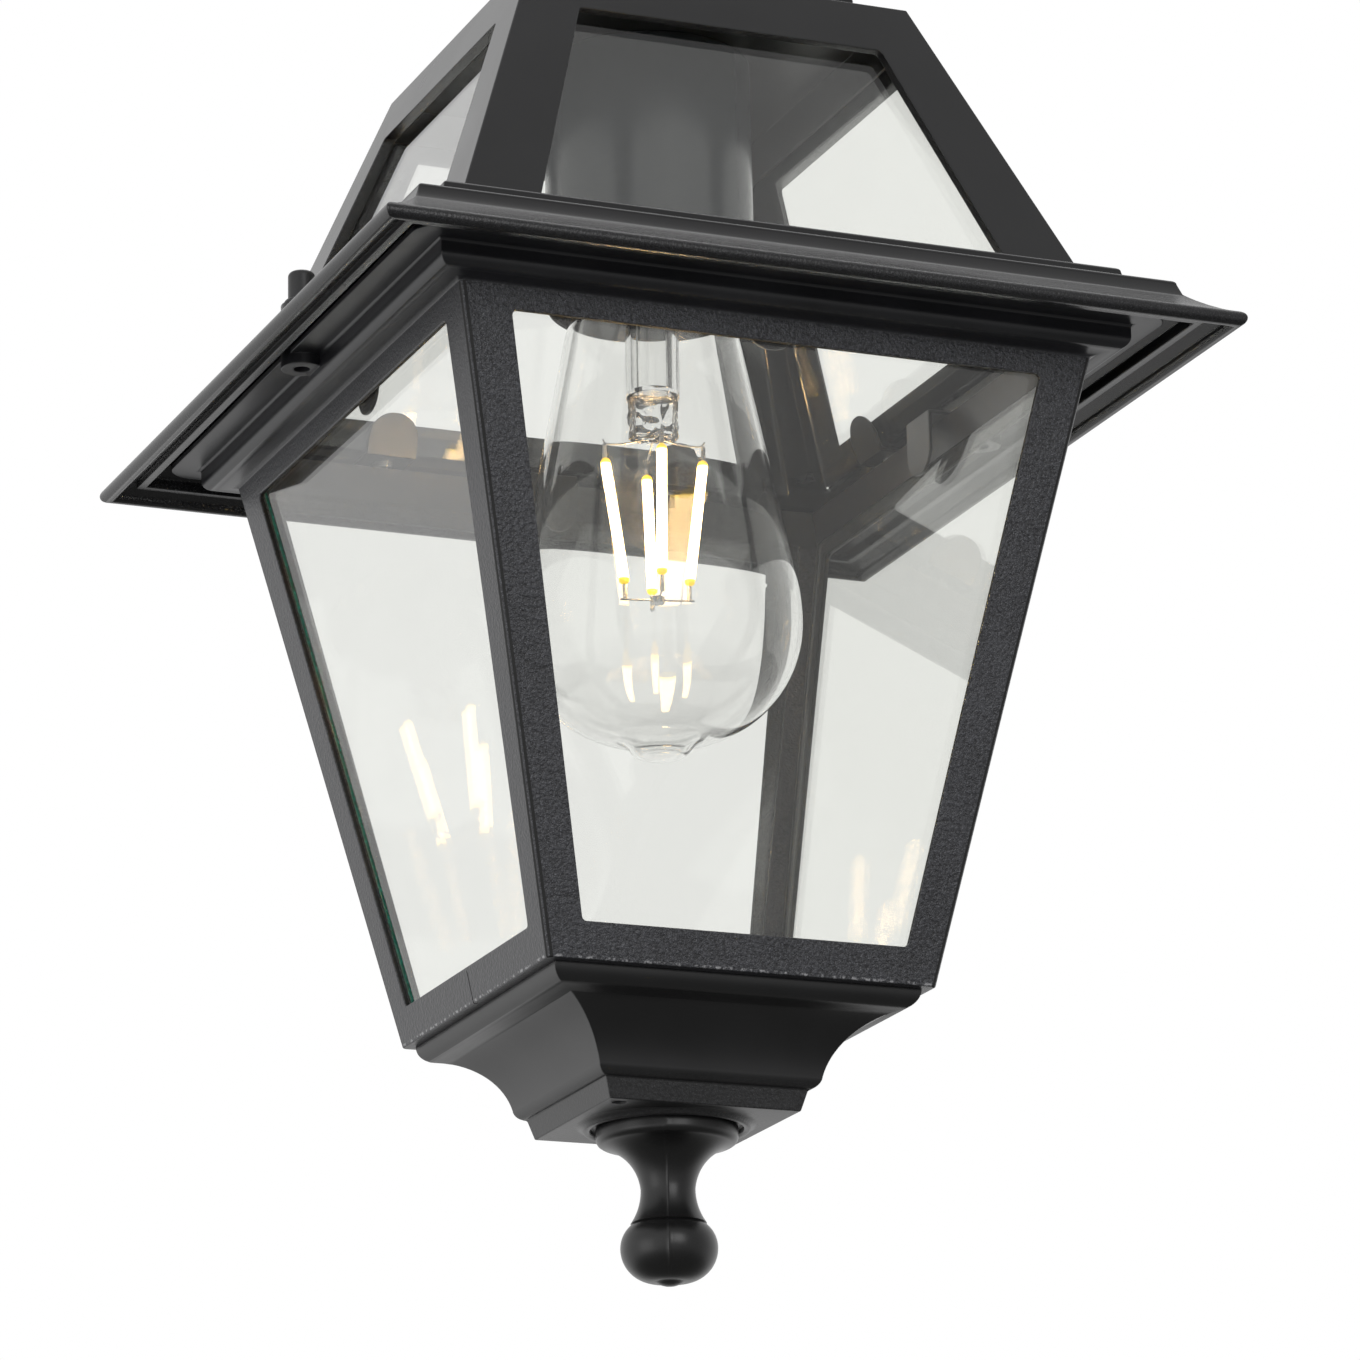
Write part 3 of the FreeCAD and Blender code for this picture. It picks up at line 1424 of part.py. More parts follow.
make_hood()
make_roof_panes()
make_retainer()
make_roof_clips()
make_body_frame()
make_body_panes()
make_body_clips()
make_small_screws()
make_base_cup()
make_finial()
make_thumb_screws()
make_sleeve_and_holder()
make_top()
make_bulb()
write_nodes()
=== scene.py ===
"""Dressed model of a square hanging lantern: glazed hood and body, ogee foot, finial and filament lamp.

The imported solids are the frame. Each sub-assembly is a class that shapes its pieces round them and
dresses them with a finish. Lengths are in metres, in the frame whose origin is the centre of the
hanging eye, and a level is a height above the centre of the lip bead that runs round the brim.
"""

import logging
import math
from contextlib import contextmanager
from dataclasses import dataclass
from enum import Enum
from typing import Callable, Iterator, NamedTuple, Sequence

import bmesh
import bpy
from mathutils import Matrix, Vector


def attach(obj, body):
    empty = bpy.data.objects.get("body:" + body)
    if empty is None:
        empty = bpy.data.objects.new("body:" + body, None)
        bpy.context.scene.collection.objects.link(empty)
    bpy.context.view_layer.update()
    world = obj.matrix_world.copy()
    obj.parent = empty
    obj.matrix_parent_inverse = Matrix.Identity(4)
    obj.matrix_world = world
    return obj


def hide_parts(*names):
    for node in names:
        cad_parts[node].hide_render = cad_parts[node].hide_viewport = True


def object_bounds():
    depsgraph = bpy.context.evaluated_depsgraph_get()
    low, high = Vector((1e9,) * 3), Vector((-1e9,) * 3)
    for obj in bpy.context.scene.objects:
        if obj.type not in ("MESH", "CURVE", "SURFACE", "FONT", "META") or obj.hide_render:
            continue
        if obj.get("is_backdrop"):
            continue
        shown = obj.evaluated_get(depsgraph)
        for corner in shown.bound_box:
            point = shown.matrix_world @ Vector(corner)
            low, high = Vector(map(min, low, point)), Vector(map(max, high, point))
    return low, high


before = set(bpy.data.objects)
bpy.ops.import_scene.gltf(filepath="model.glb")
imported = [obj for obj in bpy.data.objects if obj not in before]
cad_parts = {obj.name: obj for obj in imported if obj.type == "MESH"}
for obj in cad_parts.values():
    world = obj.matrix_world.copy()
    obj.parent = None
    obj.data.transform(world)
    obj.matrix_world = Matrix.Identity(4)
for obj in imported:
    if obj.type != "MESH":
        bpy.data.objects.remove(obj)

log = logging.getLogger("lantern")

MM = 0.001
QUARTER = math.pi / 2.0
# How high the frame's origin is above the lip bead, in millimetres.
ORIGIN = 127.0
# Points nearer than this are welded, and faces that meet flatter than this are joined.
WELD = 0.002 * MM
FLAT = math.radians(0.3)
QUAD_SKEW = math.radians(60.0)
# The least angle of an edge that is softened.
SHARP = math.radians(32.0)
# The longest run between the points of an arc, in millimetres.
ARC_PITCH = 0.7
NOISE_ROUGHNESS = 0.55
CAD_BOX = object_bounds()

Span = tuple[float, float]
Colour = tuple[float, float, float]
Test = Callable[[Vector, Vector], bool]
Node = bpy.types.Node
Output = bpy.types.NodeSocket


class Body(Enum):
    """The bodies that pieces ride on."""

    LANTERN = "lantern"
    THUMB_LEFT = "thumb_screw_left"
    THUMB_RIGHT = "thumb_screw_right"


class Pick(Enum):
    """What a selection in edit mode is made of."""

    VERT = "VERT"
    FACE = "FACE"


class Side(Enum):
    """The four sides of the square plan, by the turn about the upright axis that reaches them."""

    FRONT = 0
    RIGHT = 1
    BACK = 2
    LEFT = 3

    @property
    def turn(self) -> float:
        """The side's angle from the front, in radians."""
        return self.value * QUARTER

    @property
    def word(self) -> str:
        """The side's name as it stands in the names of the nodes."""
        return self.name.lower()

    def face(self, along: float, out: float, up: float = 0.0) -> Vector:
        """Turn a run along the side, outwards and upwards into one in the frame."""
        return Matrix.Rotation(self.turn, 3, "Z") @ Vector((along, -out, up))


class Corner(NamedTuple):
    """A corner of an outline: radius and height in millimetres, and the bend of the run that leaves it.

    A bend is an arc's radius, positive to the left of the run, and zero is straight.
    """

    radius: float
    height: float
    bend: float = 0.0


def level(height: float) -> float:
    """Turn a height above the lip bead, in millimetres, into a height in the frame."""
    return (height - ORIGIN) * MM


def outline(corners: Sequence[Corner]) -> list[Vector]:
    """Lay points, in the frame, along an outline in the half plane of the upright axis."""
    points = [Vector((corners[0].radius, corners[0].height))]
    for start, end in zip(corners, corners[1:]):
        first, last = Vector(start[:2]), Vector(end[:2])
        if start.bend:
            chord = last - first
            across = Vector((-chord.y, chord.x)).normalized() * math.copysign(1.0, start.bend)
            half = math.asin(chord.length / 2.0 / abs(start.bend))
            centre = (first + last) / 2.0 + across * abs(start.bend) * math.cos(half)
            steps = max(2, math.ceil(2.0 * half * abs(start.bend) / ARC_PITCH))
            for step in range(1, steps):
                swing = math.copysign(2.0 * half * step / steps, start.bend)
                points.append(centre + Matrix.Rotation(swing, 2) @ (first - centre))
        points.append(last)
    return [Vector((point.x * MM, 0.0, level(point.y))) for point in points]


@dataclass
class Workpiece:
    """A mesh piece on the bench, shaped with the modelling operators."""

    obj: bpy.types.Object

    @classmethod
    def from_node(cls, node: str, name: str) -> "Workpiece":
        """Copy the skin of a solid's node and weld its loose triangles."""
        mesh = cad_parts[node].data.copy()
        mesh.name = name
        mesh.materials.clear()
        obj = bpy.data.objects.new(name, mesh)
        link(obj)
        piece = cls(obj)
        piece.take()
        bpy.ops.mesh.customdata_custom_splitnormals_clear()
        with piece.editing():
            select_skin()
            bpy.ops.mesh.remove_doubles(threshold=WELD)
            select_skin()
            bpy.ops.mesh.mark_sharp(clear=True)
            bpy.ops.mesh.dissolve_limited(angle_limit=FLAT)
            select_skin()
            bpy.ops.mesh.quads_convert_to_tris(quad_method="BEAUTY", ngon_method="BEAUTY")
            select_skin()
            bpy.ops.mesh.tris_convert_to_quads(face_threshold=FLAT, shape_threshold=QUAD_SKEW)
        return piece

    @classmethod
    def from_active(cls, name: str) -> "Workpiece":
        """Name the primitive that was just added and take it to the bench."""
        obj = bpy.context.active_object
        obj.name = name
        obj.data.name = name
        return cls(obj)

    @classmethod
    def threaded(cls, name: str, points: Sequence[Vector]) -> "Workpiece":
        """Lay a chain of edges through points."""
        clear_selection()
        bpy.ops.mesh.primitive_plane_add(size=1.0 * MM)
        piece = cls.from_active(name)
        with piece.editing():
            bpy.ops.mesh.select_mode(type=Pick.VERT.value)
            select_skin()
            bpy.ops.mesh.merge(type="CENTER")
            bpy.ops.transform.translate(value=points[0])
            for before, after in zip(points, points[1:]):
                bpy.ops.mesh.extrude_region_move(TRANSFORM_OT_translate={"value": after - before})
        return piece

    @classmethod
    def turned(cls, name: str, corners: Sequence[Corner], steps: int) -> "Workpiece":
        """Turn an outline about the upright axis.

        Args:
            name: The new piece's name.
            corners: The outline, closed or ended on the axis.
            steps: How many faces go round.
        """
        piece = cls.threaded(name, outline(corners))
        with piece.editing():
            select_skin()
            bpy.ops.mesh.spin(
                steps=steps, angle=2.0 * math.pi, center=(0.0, 0.0, 0.0), axis=(0.0, 0.0, 1.0))
            select_skin()
            bpy.ops.mesh.remove_doubles(threshold=WELD)
            bpy.ops.mesh.delete_loose(use_verts=True, use_edges=True, use_faces=False)
            select_skin()
            bpy.ops.mesh.normals_make_consistent(inside=False)
        return piece

    @classmethod
    def drawn(cls, name: str, points: Sequence[Vector], radius: float) -> "Workpiece":
        """Draw a round wire along a path and close its ends.

        Args:
            name: The new piece's name.
            points: The corners of the path, which are eased.
            radius: The wire's radius.
        """
        piece = cls.threaded(name, points)
        ease = piece.obj.modifiers.new("ease", "SUBSURF")
        ease.levels = 2
        piece.apply(ease)
        piece.take()
        bpy.ops.object.convert(target="CURVE")
        path = bpy.context.active_object.data
        path.bevel_depth = radius
        path.bevel_resolution = 2
        path.use_fill_caps = True
        bpy.ops.object.convert(target="MESH")
        piece = cls.from_active(name)
        with piece.editing():
            select_skin()
            bpy.ops.mesh.remove_doubles(threshold=WELD)
            bpy.ops.mesh.normals_make_consistent(inside=False)
        return piece

    @classmethod
    def block(cls, name: str, size: Sequence[float], at: Vector, turn: Sequence[float]) -> "Workpiece":
        """Add a block of a size, turned by angles about X, Y and Z and then moved."""
        clear_selection()
        bpy.ops.mesh.primitive_cube_add(size=1.0)
        piece = cls.from_active(name)
        piece.obj.scale = size
        return piece.place(at, turn)

    @classmethod
    def gathered(cls, name: str, parts: Sequence["Workpiece"]) -> "Workpiece":
        """Join pieces to the first of them and name the whole."""
        parts[0].take()
        for part in parts:
            part.obj.select_set(True)
        bpy.ops.object.join()
        parts[0].obj.name = name
        return parts[0]

    def take(self) -> None:
        """Make this piece the only one selected, and the active one."""
        clear_selection()
        self.obj.select_set(True)
        bpy.context.view_layer.objects.active = self.obj

    @contextmanager
    def editing(self) -> Iterator[None]:
        """Hold the piece in edit mode."""
        self.take()
        bpy.ops.object.mode_set(mode="EDIT")
        yield
        bpy.ops.object.mode_set(mode="OBJECT")

    def pick(self, kind: Pick, test: Test) -> int:
        """Select, in edit mode, what passes a test of its place and direction.

        Args:
            kind: Vertices or faces.
            test: Takes the middle and the normal and says whether to select.

        Returns:
            How many were selected.
        """
        bpy.ops.mesh.select_mode(type=kind.value)
        bpy.ops.mesh.select_all(action="DESELECT")
        mesh = bmesh.from_edit_mesh(self.obj.data)
        mesh.normal_update()
        if kind is Pick.VERT:
            found = [v for v in mesh.verts if test(v.co, v.normal)]
        else:
            found = [f for f in mesh.faces if test(f.calc_center_median(), f.normal)]
        for item in found:
            item.select_set(True)
        bmesh.update_edit_mesh(self.obj.data)
        return len(found)

    def apply(self, modifier: bpy.types.Modifier) -> None:
        """Apply one modifier."""
        self.take()
        bpy.ops.object.modifier_apply(modifier=modifier.name)

    def soften(self, width: float, segments: int) -> "Workpiece":
        """Round the sharp edges, over a width from the edge and in a number of strips."""
        bevel = self.obj.modifiers.new("soften", "BEVEL")
        bevel.width = width
        bevel.segments = segments
        bevel.limit_method = "ANGLE"
        bevel.angle_limit = SHARP
        bevel.use_clamp_overlap = False
        bevel.loop_slide = False
        self.apply(bevel)
        return self

    def smooth(self, angle: float = 40.0) -> "Workpiece":
        """Shade the piece smooth below an angle, with the large faces kept flat."""
        self.take()
        bpy.ops.object.shade_smooth_by_angle(angle=math.radians(angle))
        weigh = self.obj.modifiers.new("weigh", "WEIGHTED_NORMAL")
        weigh.keep_sharp = True
        self.apply(weigh)
        return self

    def carve(self, cutter: "Workpiece") -> "Workpiece":
        """Cut another piece's volume out of this one and scrap the cutter."""
        cut = self.obj.modifiers.new("carve", "BOOLEAN")
        cut.object = cutter.obj
        cut.operation = "DIFFERENCE"
        cut.solver = "EXACT"
        self.apply(cut)
        cutter.scrap()
        return self

    def copy(self, name: str) -> "Workpiece":
        """Copy the piece with a mesh of its own."""
        twin = self.obj.copy()
        twin.data = self.obj.data.copy()
        twin.name = name
        link(twin)
        return Workpiece(twin)

    def place(self, where: Vector, turn: Sequence[float] = (0.0, 0.0, 0.0)) -> "Workpiece":
        """Turn the piece by angles about X, Y and Z, move it, and put that into its mesh."""
        self.take()
        self.obj.location = where
        self.obj.rotation_euler = turn
        bpy.ops.object.transform_apply(location=True, rotation=True, scale=True)
        return self

    def scrap(self) -> None:
        """Take a pattern or a cutter off the bench after its use."""
        bpy.data.objects.remove(self.obj)

    def hand_over(self, slot: str, finish: "Finish", *nodes: str, body: Body = Body.LANTERN) -> None:
        """Dress the finished piece and let it ride on its body.

        Args:
            slot: The name of the material slot; it is not used.
            finish: The finish on its surface.
            nodes: The solids that it stands for.
            body: The body that carries it.
        """
        self.obj.data.materials.clear()
        self.obj.data.materials.append(finish.material())
        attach(self.obj, body.value)
        if nodes:
            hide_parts(*nodes)
        log.info("%s: %d faces in %s", self.obj.name, len(self.obj.data.polygons), finish.name)

    def recoat(self, finish: "Finish", test: Test) -> None:
        """Dress the faces that pass a test with a second finish."""
        self.obj.data.materials.append(finish.material())
        self.obj.active_material_index = 1
        with self.editing():
            found = self.pick(Pick.FACE, test)
            bpy.ops.object.material_slot_assign()
        log.info("%s: %d faces in %s", self.obj.name, found, finish.name)


def link(obj: bpy.types.Object) -> None:
    """Put an object into the scene."""
    bpy.context.scene.collection.objects.link(obj)


def clear_selection() -> None:
    """Leave no object selected."""
    bpy.ops.object.select_all(action="DESELECT")


def select_skin() -> None:
    """Select, in edit mode, the whole mesh."""
    bpy.ops.mesh.select_all(action="SELECT")


class NodeBench:
    """A node tree being wired."""

    def __init__(self, tree: bpy.types.NodeTree) -> None:
        """Take the tree to wire."""
        self.tree = tree

    @classmethod
    def on(cls, holder: bpy.types.Material | bpy.types.World) -> "NodeBench":
        """Clear the node tree of a material or a world and take it to wire."""
        holder.use_nodes = True
        holder.node_tree.nodes.clear()
        return cls(holder.node_tree)

    def feed(self, node: Node, inputs: dict) -> None:
        """Give a node values or output sockets, by the input's name or number."""
        for key, value in inputs.items():
            if isinstance(value, Output):
                self.tree.links.new(value, node.inputs[key])
            else:
                node.inputs[key].default_value = value

    def add(self, kind: str, inputs: dict | None = None, **settings: object) -> Node:
        """Add a node.

        Args:
            kind: The node's type, without the prefix that shader nodes share.
            inputs: Values or output sockets, by the input's name or number.
            settings: The node's own properties.
        """
        node = self.tree.nodes.new(kind if kind.startswith("Node") else "ShaderNode" + kind)
        for name, value in settings.items():
            setattr(node, name, value)
        self.feed(node, inputs or {})
        return node

    def sum(self, operation: str, first: object, second: object) -> Output:
        """Add a Math node and give its result."""
        return self.add("Math", {0: first, 1: second}, operation=operation).outputs[0]

    def noise(self, vector: Output, scale: object, detail: float) -> Output:
        """Add a noise texture and give its value."""
        inputs = {"Vector": vector, "Scale": scale, "Detail": detail, "Roughness": NOISE_ROUGHNESS}
        return self.add("TexNoise", inputs).outputs["Fac"]

    def remap(self, value: Output, low: float, high: float,
              start: object = 0.0, end: object = 1.0) -> Output:
        """Stretch a value from one range to another, held at its ends."""
        inputs = {"Value": value, "From Min": low, "From Max": high, "To Min": start, "To Max": end}
        return self.add("MapRange", inputs).outputs["Result"]

    def blend(self, factor: object, first: object, second: object) -> Output:
        """Mix two colours by a factor."""
        return self.add("MixRGB", {"Fac": factor, "Color1": first, "Color2": second}).outputs["Color"]

    def object_place(self) -> Output:
        """Give the place on the object."""
        return self.add("TexCoord").outputs["Object"]


def grey(tone: float) -> Colour:
    """Give a colour without a hue."""
    return (tone, tone, tone)


def opaque(colour: Colour) -> tuple[float, float, float, float]:
    """Give a colour its full alpha."""
    return (*colour, 1.0)


class Socket(Enum):
    """What the sockets of a node group carry."""

    PLACE = "NodeSocketVector"
    COLOUR = "NodeSocketColor"
    NUMBER = "NodeSocketFloat"


@dataclass(frozen=True)
class Effect:
    """A surface effect that several finishes share, kept as one node group.

    An input is a name, a kind and a value, and each effect gives a colour, a roughness and a height.
    """

    name: str
    inputs: tuple[tuple[str, Socket, object], ...]
    outputs: tuple[tuple[str, Socket], ...] = (
        ("Colour", Socket.COLOUR), ("Roughness", Socket.NUMBER), ("Height", Socket.NUMBER))

    def group(self) -> bpy.types.NodeTree:
        """Give the effect's node group, built at its first use."""
        known = bpy.data.node_groups.get(self.name)
        if known is not None:
            return known
        tree = bpy.data.node_groups.new(self.name, "ShaderNodeTree")
        for name, kind, value in self.inputs:
            socket = tree.interface.new_socket(name=name, in_out="INPUT", socket_type=kind.value)
            if value is not None:
                socket.default_value = value
        for name, kind in self.outputs:
            tree.interface.new_socket(name=name, in_out="OUTPUT", socket_type=kind.value)
        bench = NodeBench(tree)
        source = bench.add("NodeGroupInput")
        bench.add("NodeGroupOutput", self.wire(bench, source.outputs))
        return tree

    def wire(self, bench: NodeBench, given: object) -> dict:
        """Wire the effect and give its results by output name."""
        raise NotImplementedError

    def dress(self, bench: NodeBench, shader: Node, depth: float, inputs: dict) -> Output:
        """Place the effect in a material and feed its results to the shader.

        Args:
            bench: The material's bench.
            shader: The material's shader.
            depth: How deep the relief is, in metres.
            inputs: The effect's inputs, apart from the place.

        Returns:
            The effect's colour.
        """
        inputs = {"Place": bench.object_place(), **inputs}
        results = bench.add("Group", inputs, node_tree=self.group()).outputs
        bump = bench.add("Bump", {"Height": results["Height"], "Distance": depth, "Strength": 1.0})
        bench.feed(shader, {"Base Color": results["Colour"], "Roughness": results["Roughness"],
                            "Normal": bump.outputs["Normal"]})
        return results["Colour"]


@dataclass(frozen=True)
class CoatGrain(Effect):
    """The orange-peel grain of a baked coat between two levels, with painted glints, a painted highlight on
    its peaks and slow clouds of tone.
    """

    name: str = "coat_grain"
    inputs: tuple = (
        ("Place", Socket.PLACE, None),
        ("Grain Scale", Socket.NUMBER, 1500.0),
        ("Grain Foot", Socket.NUMBER, -1.0),
        ("Grain Head", Socket.NUMBER, 1.0),
        ("Chipped At", Socket.NUMBER, -1.0),
        ("Chip", Socket.COLOUR, (0.3, 0.3, 0.31, 1.0)),
        ("Dark", Socket.COLOUR, (0.01, 0.01, 0.012, 1.0)),
        ("Light", Socket.COLOUR, (0.04, 0.04, 0.045, 1.0)),
        ("Smooth", Socket.NUMBER, 0.35),
        ("Rough", Socket.NUMBER, 0.6),
    )
    fine_ratio: float = 2.7
    fine_share: float = 0.28
    cloud_scale: float = 38.0
    chip_scale: float = 700.0
    chip_band: Span = (0.1 * MM, 0.4 * MM)
    chip_range: Span = (0.52, 0.6)
    side_range: Span = (0.3, 0.7)
    side_calm: float = 0.35
    # Ranges and share of the painted glints and of the painted highlight on the grain's peaks.
    painted_glint_range: Span = (0.6, 0.74)
    painted_peak_range: Span = (0.38, 0.64)
    painted_peak_share: float = 0.36
    cloud_range: Span = (0.3, 0.7)
    cloud_tones: Span = (0.03, 0.14)
    rough_range: Span = (0.2, 0.8)

    def wire(self, bench: NodeBench, given: object) -> dict:
        """Wire pimples, painted glints, painted peak highlights and clouds."""
        place, scale = given["Place"], given["Grain Scale"]
        pimples = bench.noise(place, scale, 1.5)
        fine = bench.noise(place, bench.sum("MULTIPLY", scale, self.fine_ratio), 1.0)
        clouds = bench.noise(place, self.cloud_scale, 3.0)
        rise = bench.add("SeparateXYZ", {0: place}).outputs["Z"]
        over = bench.remap(bench.sum("SUBTRACT", rise, given["Grain Foot"]), -MM, MM)
        under = bench.remap(bench.sum("SUBTRACT", given["Grain Head"], rise), -MM, MM)
        # The grain, with its painted glints and peak highlights, is calmer on faces turned to the sides,
        # where the light shows it less.
        facing = bench.add("SeparateXYZ", {0: bench.add("TexCoord").outputs["Normal"]}).outputs["Y"]
        calm = bench.remap(bench.sum("ABSOLUTE", facing, 0.0), *self.side_range, self.side_calm)
        share = bench.sum("MULTIPLY", bench.sum("MINIMUM", over, under), calm)
        whole = bench.sum("ADD", bench.sum("MULTIPLY", pimples, 1.0 - self.fine_share),
                          bench.sum("MULTIPLY", fine, self.fine_share))
        # Painted glints and painted highlight: specks of the fine grain and the peaks of the grain are
        # lighter in colour, standing in for the light they catch.
        painted_glint = bench.sum("MULTIPLY", bench.remap(fine, *self.painted_glint_range), share)
        painted_peak_highlight = bench.sum("MULTIPLY", bench.remap(whole, *self.painted_peak_range, 0.0, self.painted_peak_share), share)
        cloudy = bench.remap(clouds, *self.cloud_range, *self.cloud_tones)
        tone = bench.sum("ADD", cloudy, bench.sum("ADD", painted_glint, painted_peak_highlight))
        off_edge = bench.sum("ABSOLUTE", bench.sum("SUBTRACT", rise, given["Chipped At"]), 0.0)
        chips = bench.sum("MULTIPLY", bench.remap(off_edge, *self.chip_band, 1.0, 0.0),
                          bench.remap(bench.noise(place, self.chip_scale, 3.0), *self.chip_range))
        coat = bench.blend(tone, given["Dark"], given["Light"])
        return {
            "Colour": bench.blend(chips, coat, given["Chip"]),
            "Roughness": bench.remap(clouds, *self.rough_range, given["Smooth"], given["Rough"]),
            "Height": bench.sum("MULTIPLY", whole, share),
        }


@dataclass(frozen=True)
class DrawnLines(Effect):
    """The fine lines that rolling or turning leaves on metal, with faint spots of handling."""

    name: str = "drawn_lines"
    inputs: tuple = (
        ("Place", Socket.PLACE, None),
        ("Dark", Socket.COLOUR, (0.3, 0.3, 0.3, 1.0)),
        ("Light", Socket.COLOUR, (0.6, 0.6, 0.6, 1.0)),
        ("Smooth", Socket.NUMBER, 0.2),
        ("Rough", Socket.NUMBER, 0.4),
    )
    line_scale: tuple[float, float, float] = (60.0, 60.0, 3200.0)
    spot_scale: float = 260.0
    line_share: float = 0.55
    spot_share: float = 0.45
    tone_range: Span = (0.36, 0.64)
    spot_range: Span = (0.35, 0.65)

    def wire(self, bench: NodeBench, given: object) -> dict:
        """Wire stretched lines and soft spots."""
        stretched = bench.add("Mapping", {"Vector": given["Place"], "Scale": self.line_scale}).outputs[0]
        lines = bench.noise(stretched, 1.0, 2.0)
        spots = bench.noise(given["Place"], self.spot_scale, 2.0)
        tone = bench.sum("ADD", bench.sum("MULTIPLY", lines, self.line_share),
                         bench.sum("MULTIPLY", spots, self.spot_share))
        return {
            "Colour": bench.blend(bench.remap(tone, *self.tone_range), given["Dark"], given["Light"]),
            "Roughness": bench.remap(spots, *self.spot_range, given["Smooth"], given["Rough"]),
            "Height": lines,
        }


@dataclass(frozen=True)
class FaintFilm(Effect):
    """The faint film and specks that clear glass carries."""

    name: str = "faint_film"
    inputs: tuple = (
        ("Place", Socket.PLACE, None),
        ("Clear", Socket.COLOUR, (0.95, 0.97, 0.95, 1.0)),
        ("Dull", Socket.COLOUR, (0.9, 0.93, 0.9, 1.0)),
        ("Film", Socket.NUMBER, 0.01),
    )
    wave_scale: float = 22.0
    film_scale: float = 46.0
    film_share: float = 0.35
    film_range: Span = (0.48, 0.72)
    speck_scale: float = 420.0
    speck_range: Span = (0.035, 0.06)
    sparse_scale: float = 120.0
    sparse_range: Span = (0.62, 0.66)

    def wire(self, bench: NodeBench, given: object) -> dict:
        """Wire slow waves, a wiped film and specks."""
        place = given["Place"]
        waves = bench.noise(place, self.wave_scale, 1.0)
        film = bench.remap(bench.noise(place, self.film_scale, 4.0), *self.film_range)
        dots = bench.add("TexVoronoi", {"Vector": place, "Scale": self.speck_scale}).outputs["Distance"]
        specks = bench.remap(dots, *self.speck_range, 1.0, 0.0)
        sparse = bench.remap(bench.noise(place, self.sparse_scale, 0.0), *self.sparse_range)
        dust = bench.sum("MULTIPLY", specks, sparse)
        mark = bench.sum("MAXIMUM", bench.sum("MULTIPLY", film, self.film_share), dust)
        return {
            "Colour": bench.blend(mark, given["Clear"], given["Dull"]),
            "Roughness": bench.sum("MULTIPLY", mark, given["Film"]),
            "Height": waves,
        }


COAT_GRAIN = CoatGrain()
DRAWN_LINES = DrawnLines()
FAINT_FILM = FaintFilm()


@dataclass(frozen=True)
class Finish:
    """A surface finish: its material is made at its first use."""

    name: str

    def material(self) -> bpy.types.Material:
        """Give the finish's material."""
        known = bpy.data.materials.get(self.name)
        if known is not None:
            return known
        material = bpy.data.materials.new(self.name)
        bench = NodeBench.on(material)
        shader = bench.add("BsdfPrincipled")
        out = bench.add("OutputMaterial", {"Surface": shader.outputs["BSDF"]})
        self.wire(bench, shader, out)
        return material

    def wire(self, bench: NodeBench, shader: Node, out: Node) -> None:
        """Wire the finish to its shader."""
        raise NotImplementedError


@dataclass(frozen=True)
class BakedCoat(Finish):
    """A baked black coat on a casting."""

    dark: Colour = (0.008, 0.008, 0.009)
    light: Colour = (0.028, 0.028, 0.031)
    grain: float = 1500.0
    depth: float = 0.012 * MM
    smooth: float = 0.34
    rough: float = 0.52
    grain_foot: float = -400.0
    grain_head: float = 400.0
    chipped_at: float = -400.0
    ior: float = 1.5

    def wire(self, bench: NodeBench, shader: Node, out: Node) -> None:
        """Wire the grain to the shader."""
        COAT_GRAIN.dress(bench, shader, self.depth, {
            "Grain Scale": self.grain, "Dark": opaque(self.dark), "Light": opaque(self.light),
            "Smooth": self.smooth, "Rough": self.rough, "Grain Foot": level(self.grain_foot),
            "Grain Head": level(self.grain_head), "Chipped At": level(self.chipped_at)})
        bench.feed(shader, {"IOR": self.ior})


@dataclass(frozen=True)
class WorkedMetal(Finish):
    """Bare or plated metal with the lines of its making."""

    dark: Colour = (0.35, 0.34, 0.32)
    light: Colour = (0.6, 0.59, 0.56)
    depth: float = 0.003 * MM
    smooth: float = 0.22
    rough: float = 0.42
    metallic: float = 1.0

    def wire(self, bench: NodeBench, shader: Node, out: Node) -> None:
        """Wire the lines to the shader."""
        DRAWN_LINES.dress(bench, shader, self.depth, {
            "Dark": opaque(self.dark), "Light": opaque(self.light),
            "Smooth": self.smooth, "Rough": self.rough})
        bench.feed(shader, {"Metallic": self.metallic})


@dataclass(frozen=True)
class ClearGlass(Finish):
    """Clear glass with a faint film, open to the light that casts shadows."""

    clear: Colour = (0.922, 0.927, 0.906)
    dull: Colour = (0.90, 0.91, 0.89)
    slant: Colour = (0.80, 0.81, 0.775)
    film: float = 0.008
    depth: float = 0.002 * MM
    ior: float = 1.5
    slant_range: Span = (0.3, 0.75)

    def wire(self, bench: NodeBench, shader: Node, out: Node) -> None:
        """Wire the film, the tint of a slanting view and the open shadows."""
        colour = FAINT_FILM.dress(bench, shader, self.depth, {
            "Clear": opaque(self.clear), "Dull": opaque(self.dull), "Film": self.film})
        facing = bench.add("LayerWeight", {"Blend": 0.5}).outputs["Facing"]
        tint = bench.blend(bench.remap(facing, *self.slant_range), colour, opaque(self.slant))
        bench.feed(shader, {"Base Color": tint, "Transmission Weight": 1.0, "IOR": self.ior})
        path = bench.add("LightPath")
        passing = bench.sum("MAXIMUM", path.outputs["Is Shadow Ray"], path.outputs["Is Diffuse Ray"])
        open_way = bench.add("BsdfTransparent", {"Color": opaque(self.clear)})
        ways = bench.add("MixShader", {0: passing, 1: shader.outputs[0], 2: open_way.outputs[0]})
        bench.feed(out, {"Surface": ways.outputs[0]})


